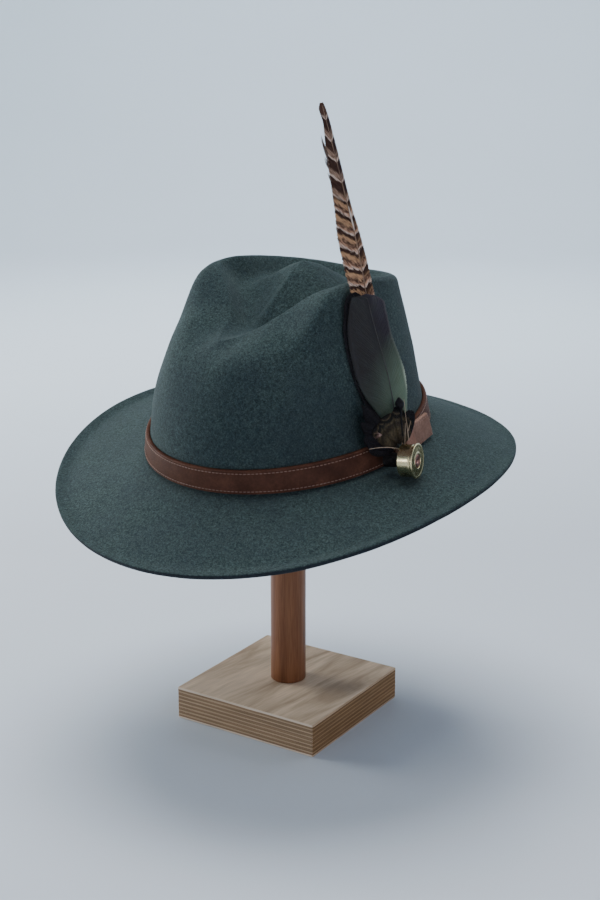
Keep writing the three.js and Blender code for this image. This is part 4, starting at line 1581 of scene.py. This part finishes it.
def plyMaterial():
    material, tree, shader = newMaterial("birchPly", {"Roughness": 0.7, "Specular IOR Level": 0.12})
    vector = place(tree)
    high = stand["high"] * mm
    wave = swing(tree, grain(tree, vector, plyLook["waveScale"]), plyLook["wave"])
    z = plus(tree, splitVector(tree, vector)["Z"], wave)
    ply = math2(tree, "DIVIDE", z, high / stand["plies"])
    phase = math2(tree, "FRACT", math2(tree, "DIVIDE", ply, 2.0))
    light, mid, glue = (plyLook[key] for key in ("light", "mid", "glue"))
    bands = ramp(tree, phase, [
        (0.0, glue), (0.035, light), (0.46, light), (0.49, glue), (0.53, mid), (0.96, mid), (1.0, glue),
    ])
    # the outermost plies are pale: the face veneers' own colour, and at the top edge a painted highlight too
    none, full = plyLook["skinThick"]
    skin = math2(tree, "MAXIMUM", share(tree, z, high - none, high - full), share(tree, z, none, full))
    bands = blendColour(tree, skin, bands, plyLook["skin"])
    streak = grain(tree, place(tree, plyLook["streakScale"]), 1.0, 3.0, 0.6)
    bands = shaded(tree, bands, streak, [(0.3, 0.62), (0.7, 1.3)], 0.55)
    # the top's figure runs along one edge of the base
    along = (0, 0, math.radians(-stand["yawDeg"]))
    figure = grain(tree, place(tree, plyLook["figureScale"], along), 1.0, 4.0, 0.55, 0.8)
    fine = grain(tree, place(tree, plyLook["fineScale"], along), 1.0)
    face = ramp(tree, figure, [(0.3, plyLook["faceDark"]), (0.62, plyLook["face"])])
    face = shaded(tree, face, fine, [(0.35, 0.75), (0.65, 1.2)], 0.3)
    facing = splitVector(tree, node(tree, "ShaderNodeNewGeometry").outputs["Normal"])
    level = math2(tree, "GREATER_THAN", math2(tree, "ABSOLUTE", facing["Z"]), 0.8)
    # painted shade: the two sides that face along X are darker and browner
    sideShade = math2(tree, "GREATER_THAN", math2(tree, "ABSOLUTE", facing["X"]), 0.7)
    shadedBands = blendColour(tree, 1.0, bands, plyLook["sideShade"], "MULTIPLY")
    bands = blendColour(tree, sideShade, bands, shadedBands)
    tree.links.new(blendColour(tree, level, bands, face), shader.inputs["Base Color"])
    bump(tree, shader, plus(tree, streak, fine), 0.00025, 0.35)
    return material


dowelLook = {
    "mid": (0.178, 0.072, 0.032),
    "dark": (0.118, 0.046, 0.020),
    "light": (0.236, 0.104, 0.047),
    "broadScale": (160, 160, 5),
    "poreScale": (1700, 1700, 60),
    "oiledRoughness": 0.42,
    "plainRoughness": 0.6,
}


def dowelMaterial(name, roughness):
    material, tree, shader = newMaterial(name, {"Roughness": roughness, "Specular IOR Level": 0.25})
    broad = grain(tree, place(tree, dowelLook["broadScale"]), 1.0, 4.0, 0.6, 0.6)
    pores = grain(tree, place(tree, dowelLook["poreScale"]), 1.0)
    dark, mid, light = (dowelLook[key] for key in ("dark", "mid", "light"))
    colour = ramp(tree, broad, [(0.3, dark), (0.5, mid), (0.72, light)])
    colour = shaded(tree, colour, pores, [(0.3, 0.6), (0.6, 1.15)], 0.5)
    tree.links.new(colour, shader.inputs["Base Color"])
    bump(tree, shader, plus(tree, pores, broad), 0.0002, 0.3)
    return material


print("stand")
makeBase(plyMaterial())
makePost(dowelMaterial("oiledDowel", dowelLook["oiledRoughness"]))
makePostHead(dowelMaterial("plainTurned", dowelLook["plainRoughness"]))


# floor, light and camera

studio = {
    "floorFlat": 2.3,
    "floorCurve": 1.1,
    "wallHigh": 2.6,
    "floorSides": 96,
    "floorColour": (0.58, 0.655, 0.745),
    "floorShade": 0.98,
    "worldColour": (1.0, 0.82, 0.92),
    "worldStrength": 0.10,
    "cameraAt": (0.6587, -0.7503, 0.4747),
    "cameraAroundDeg": 40.8,
    "cameraDownDeg": 15.7,
    "lens": 60.0,
    "sensor": 36.0,
}

lamps = {
    # place, aim, width and height, power, colour, and whether glossy things mirror it
    "windowLight": ((-1.73, -0.58, 0.40), (0, 0, 0.27), (1.0, 1.0), 41, (0.99, 0.99, 0.94), True),
    "topLight": ((-0.36, 0.20, 1.90), (0.02, 0, 0.2), (1.2, 1.2), 40, (1.0, 0.99, 0.98), False),
    "sideFill": ((1.15, -0.42, 0.44), (0.1, 0, 0.26), (0.5, 0.7), 2.5, (1.0, 0.87, 0.88), True),
    "pinGlint": ((0.02, -1.47, 0.49), (0.12, 0, 0.22), (0.40, 0.22), 2.2, (1, 1, 1), True),
    "wallLight": ((-0.75, 0.95, 1.7), (-2.4, 2.7, 0.5), (1.2, 0.8), 64, (0.90, 0.985, 1.0), True),
    "rearFill": ((0.76, 1.63, 1.3), (0, 0, 0.2), (1.4, 1.4), 7.5, (1, 1, 1), True),
}


def makeFloor():
    # flat in the middle, then curved up into a plain wall all round
    flat, curve, sides = studio["floorFlat"], studio["floorCurve"], studio["floorSides"]
    profile = [(flat * k / 4, 0.0) for k in range(1, 5)]
    for k in range(1, 17):
        a = math.pi / 2 * k / 16
        profile.append((flat + curve * math.sin(a), curve * (1 - math.cos(a))))
    profile.append((flat + curve, studio["wallHigh"]))
    circle = [2 * math.pi * i / sides for i in range(sides)]
    points = [(0.0, 0.0, 0.0), *((r * math.cos(a), r * math.sin(a), z) for r, z in profile for a in circle)]
    faces = [(0, 1 + i, 1 + (i + 1) % sides) for i in range(sides)]
    for j in range(len(profile) - 1):
        low, high = 1 + j * sides, 1 + (j + 1) * sides
        for i in range(sides):
            k = (i + 1) % sides
            faces.append((low + i, high + i, high + k, low + k))
    mesh = bpy.data.meshes.new("floor")
    mesh.from_pydata(points, [], faces)
    mesh.polygons.foreach_set("use_smooth", [True] * len(mesh.polygons))
    material, tree, shader = newMaterial("paleFloor", {"Roughness": 0.9, "Specular IOR Level": 0.1})
    colour = studio["floorColour"]
    dark = tuple(studio["floorShade"] * c for c in colour)
    tint = ramp(tree, grain(tree, place(tree), 3.0), [(0.3, dark), (0.7, colour)])
    tree.links.new(tint, shader.inputs["Base Color"])
    mesh.materials.append(material)
    floor = bpy.data.objects.new("floor", mesh)
    bpy.context.scene.collection.objects.link(floor)


def softLight(name, at, toward, size, power, colour, mirrored):
    lamp = bpy.data.lights.new(name, "AREA")
    lamp.shape = "RECTANGLE"
    lamp.size, lamp.size_y = size
    lamp.energy = power
    lamp.color = colour
    made = bpy.data.objects.new(name, lamp)
    made.location = at
    made.rotation_euler = (Vector(toward) - Vector(at)).to_track_quat("-Z", "Y").to_euler()
    made.visible_glossy = mirrored
    bpy.context.scene.collection.objects.link(made)


def makeCamera():
    data = bpy.data.cameras.new("camera")
    data.lens = studio["lens"]
    data.sensor_width = studio["sensor"]
    data.clip_start = 0.01
    camera = bpy.data.objects.new("camera", data)
    camera.location = studio["cameraAt"]
    around = math.radians(studio["cameraAroundDeg"])
    down = math.radians(90 - studio["cameraDownDeg"])
    camera.rotation_euler = (down, 0, around)
    bpy.context.scene.collection.objects.link(camera)
    bpy.context.scene.camera = camera


def makeWorld():
    world = bpy.data.worlds.new("studio")
    world.use_nodes = True
    background = world.node_tree.nodes["Background"]
    background.inputs[0].default_value = (*studio["worldColour"], 1)
    background.inputs[1].default_value = studio["worldStrength"]
    bpy.context.scene.world = world


print("floor, light and camera")
makeFloor()
makeWorld()
for name, values in lamps.items():
    softLight(name, *values)
makeCamera()
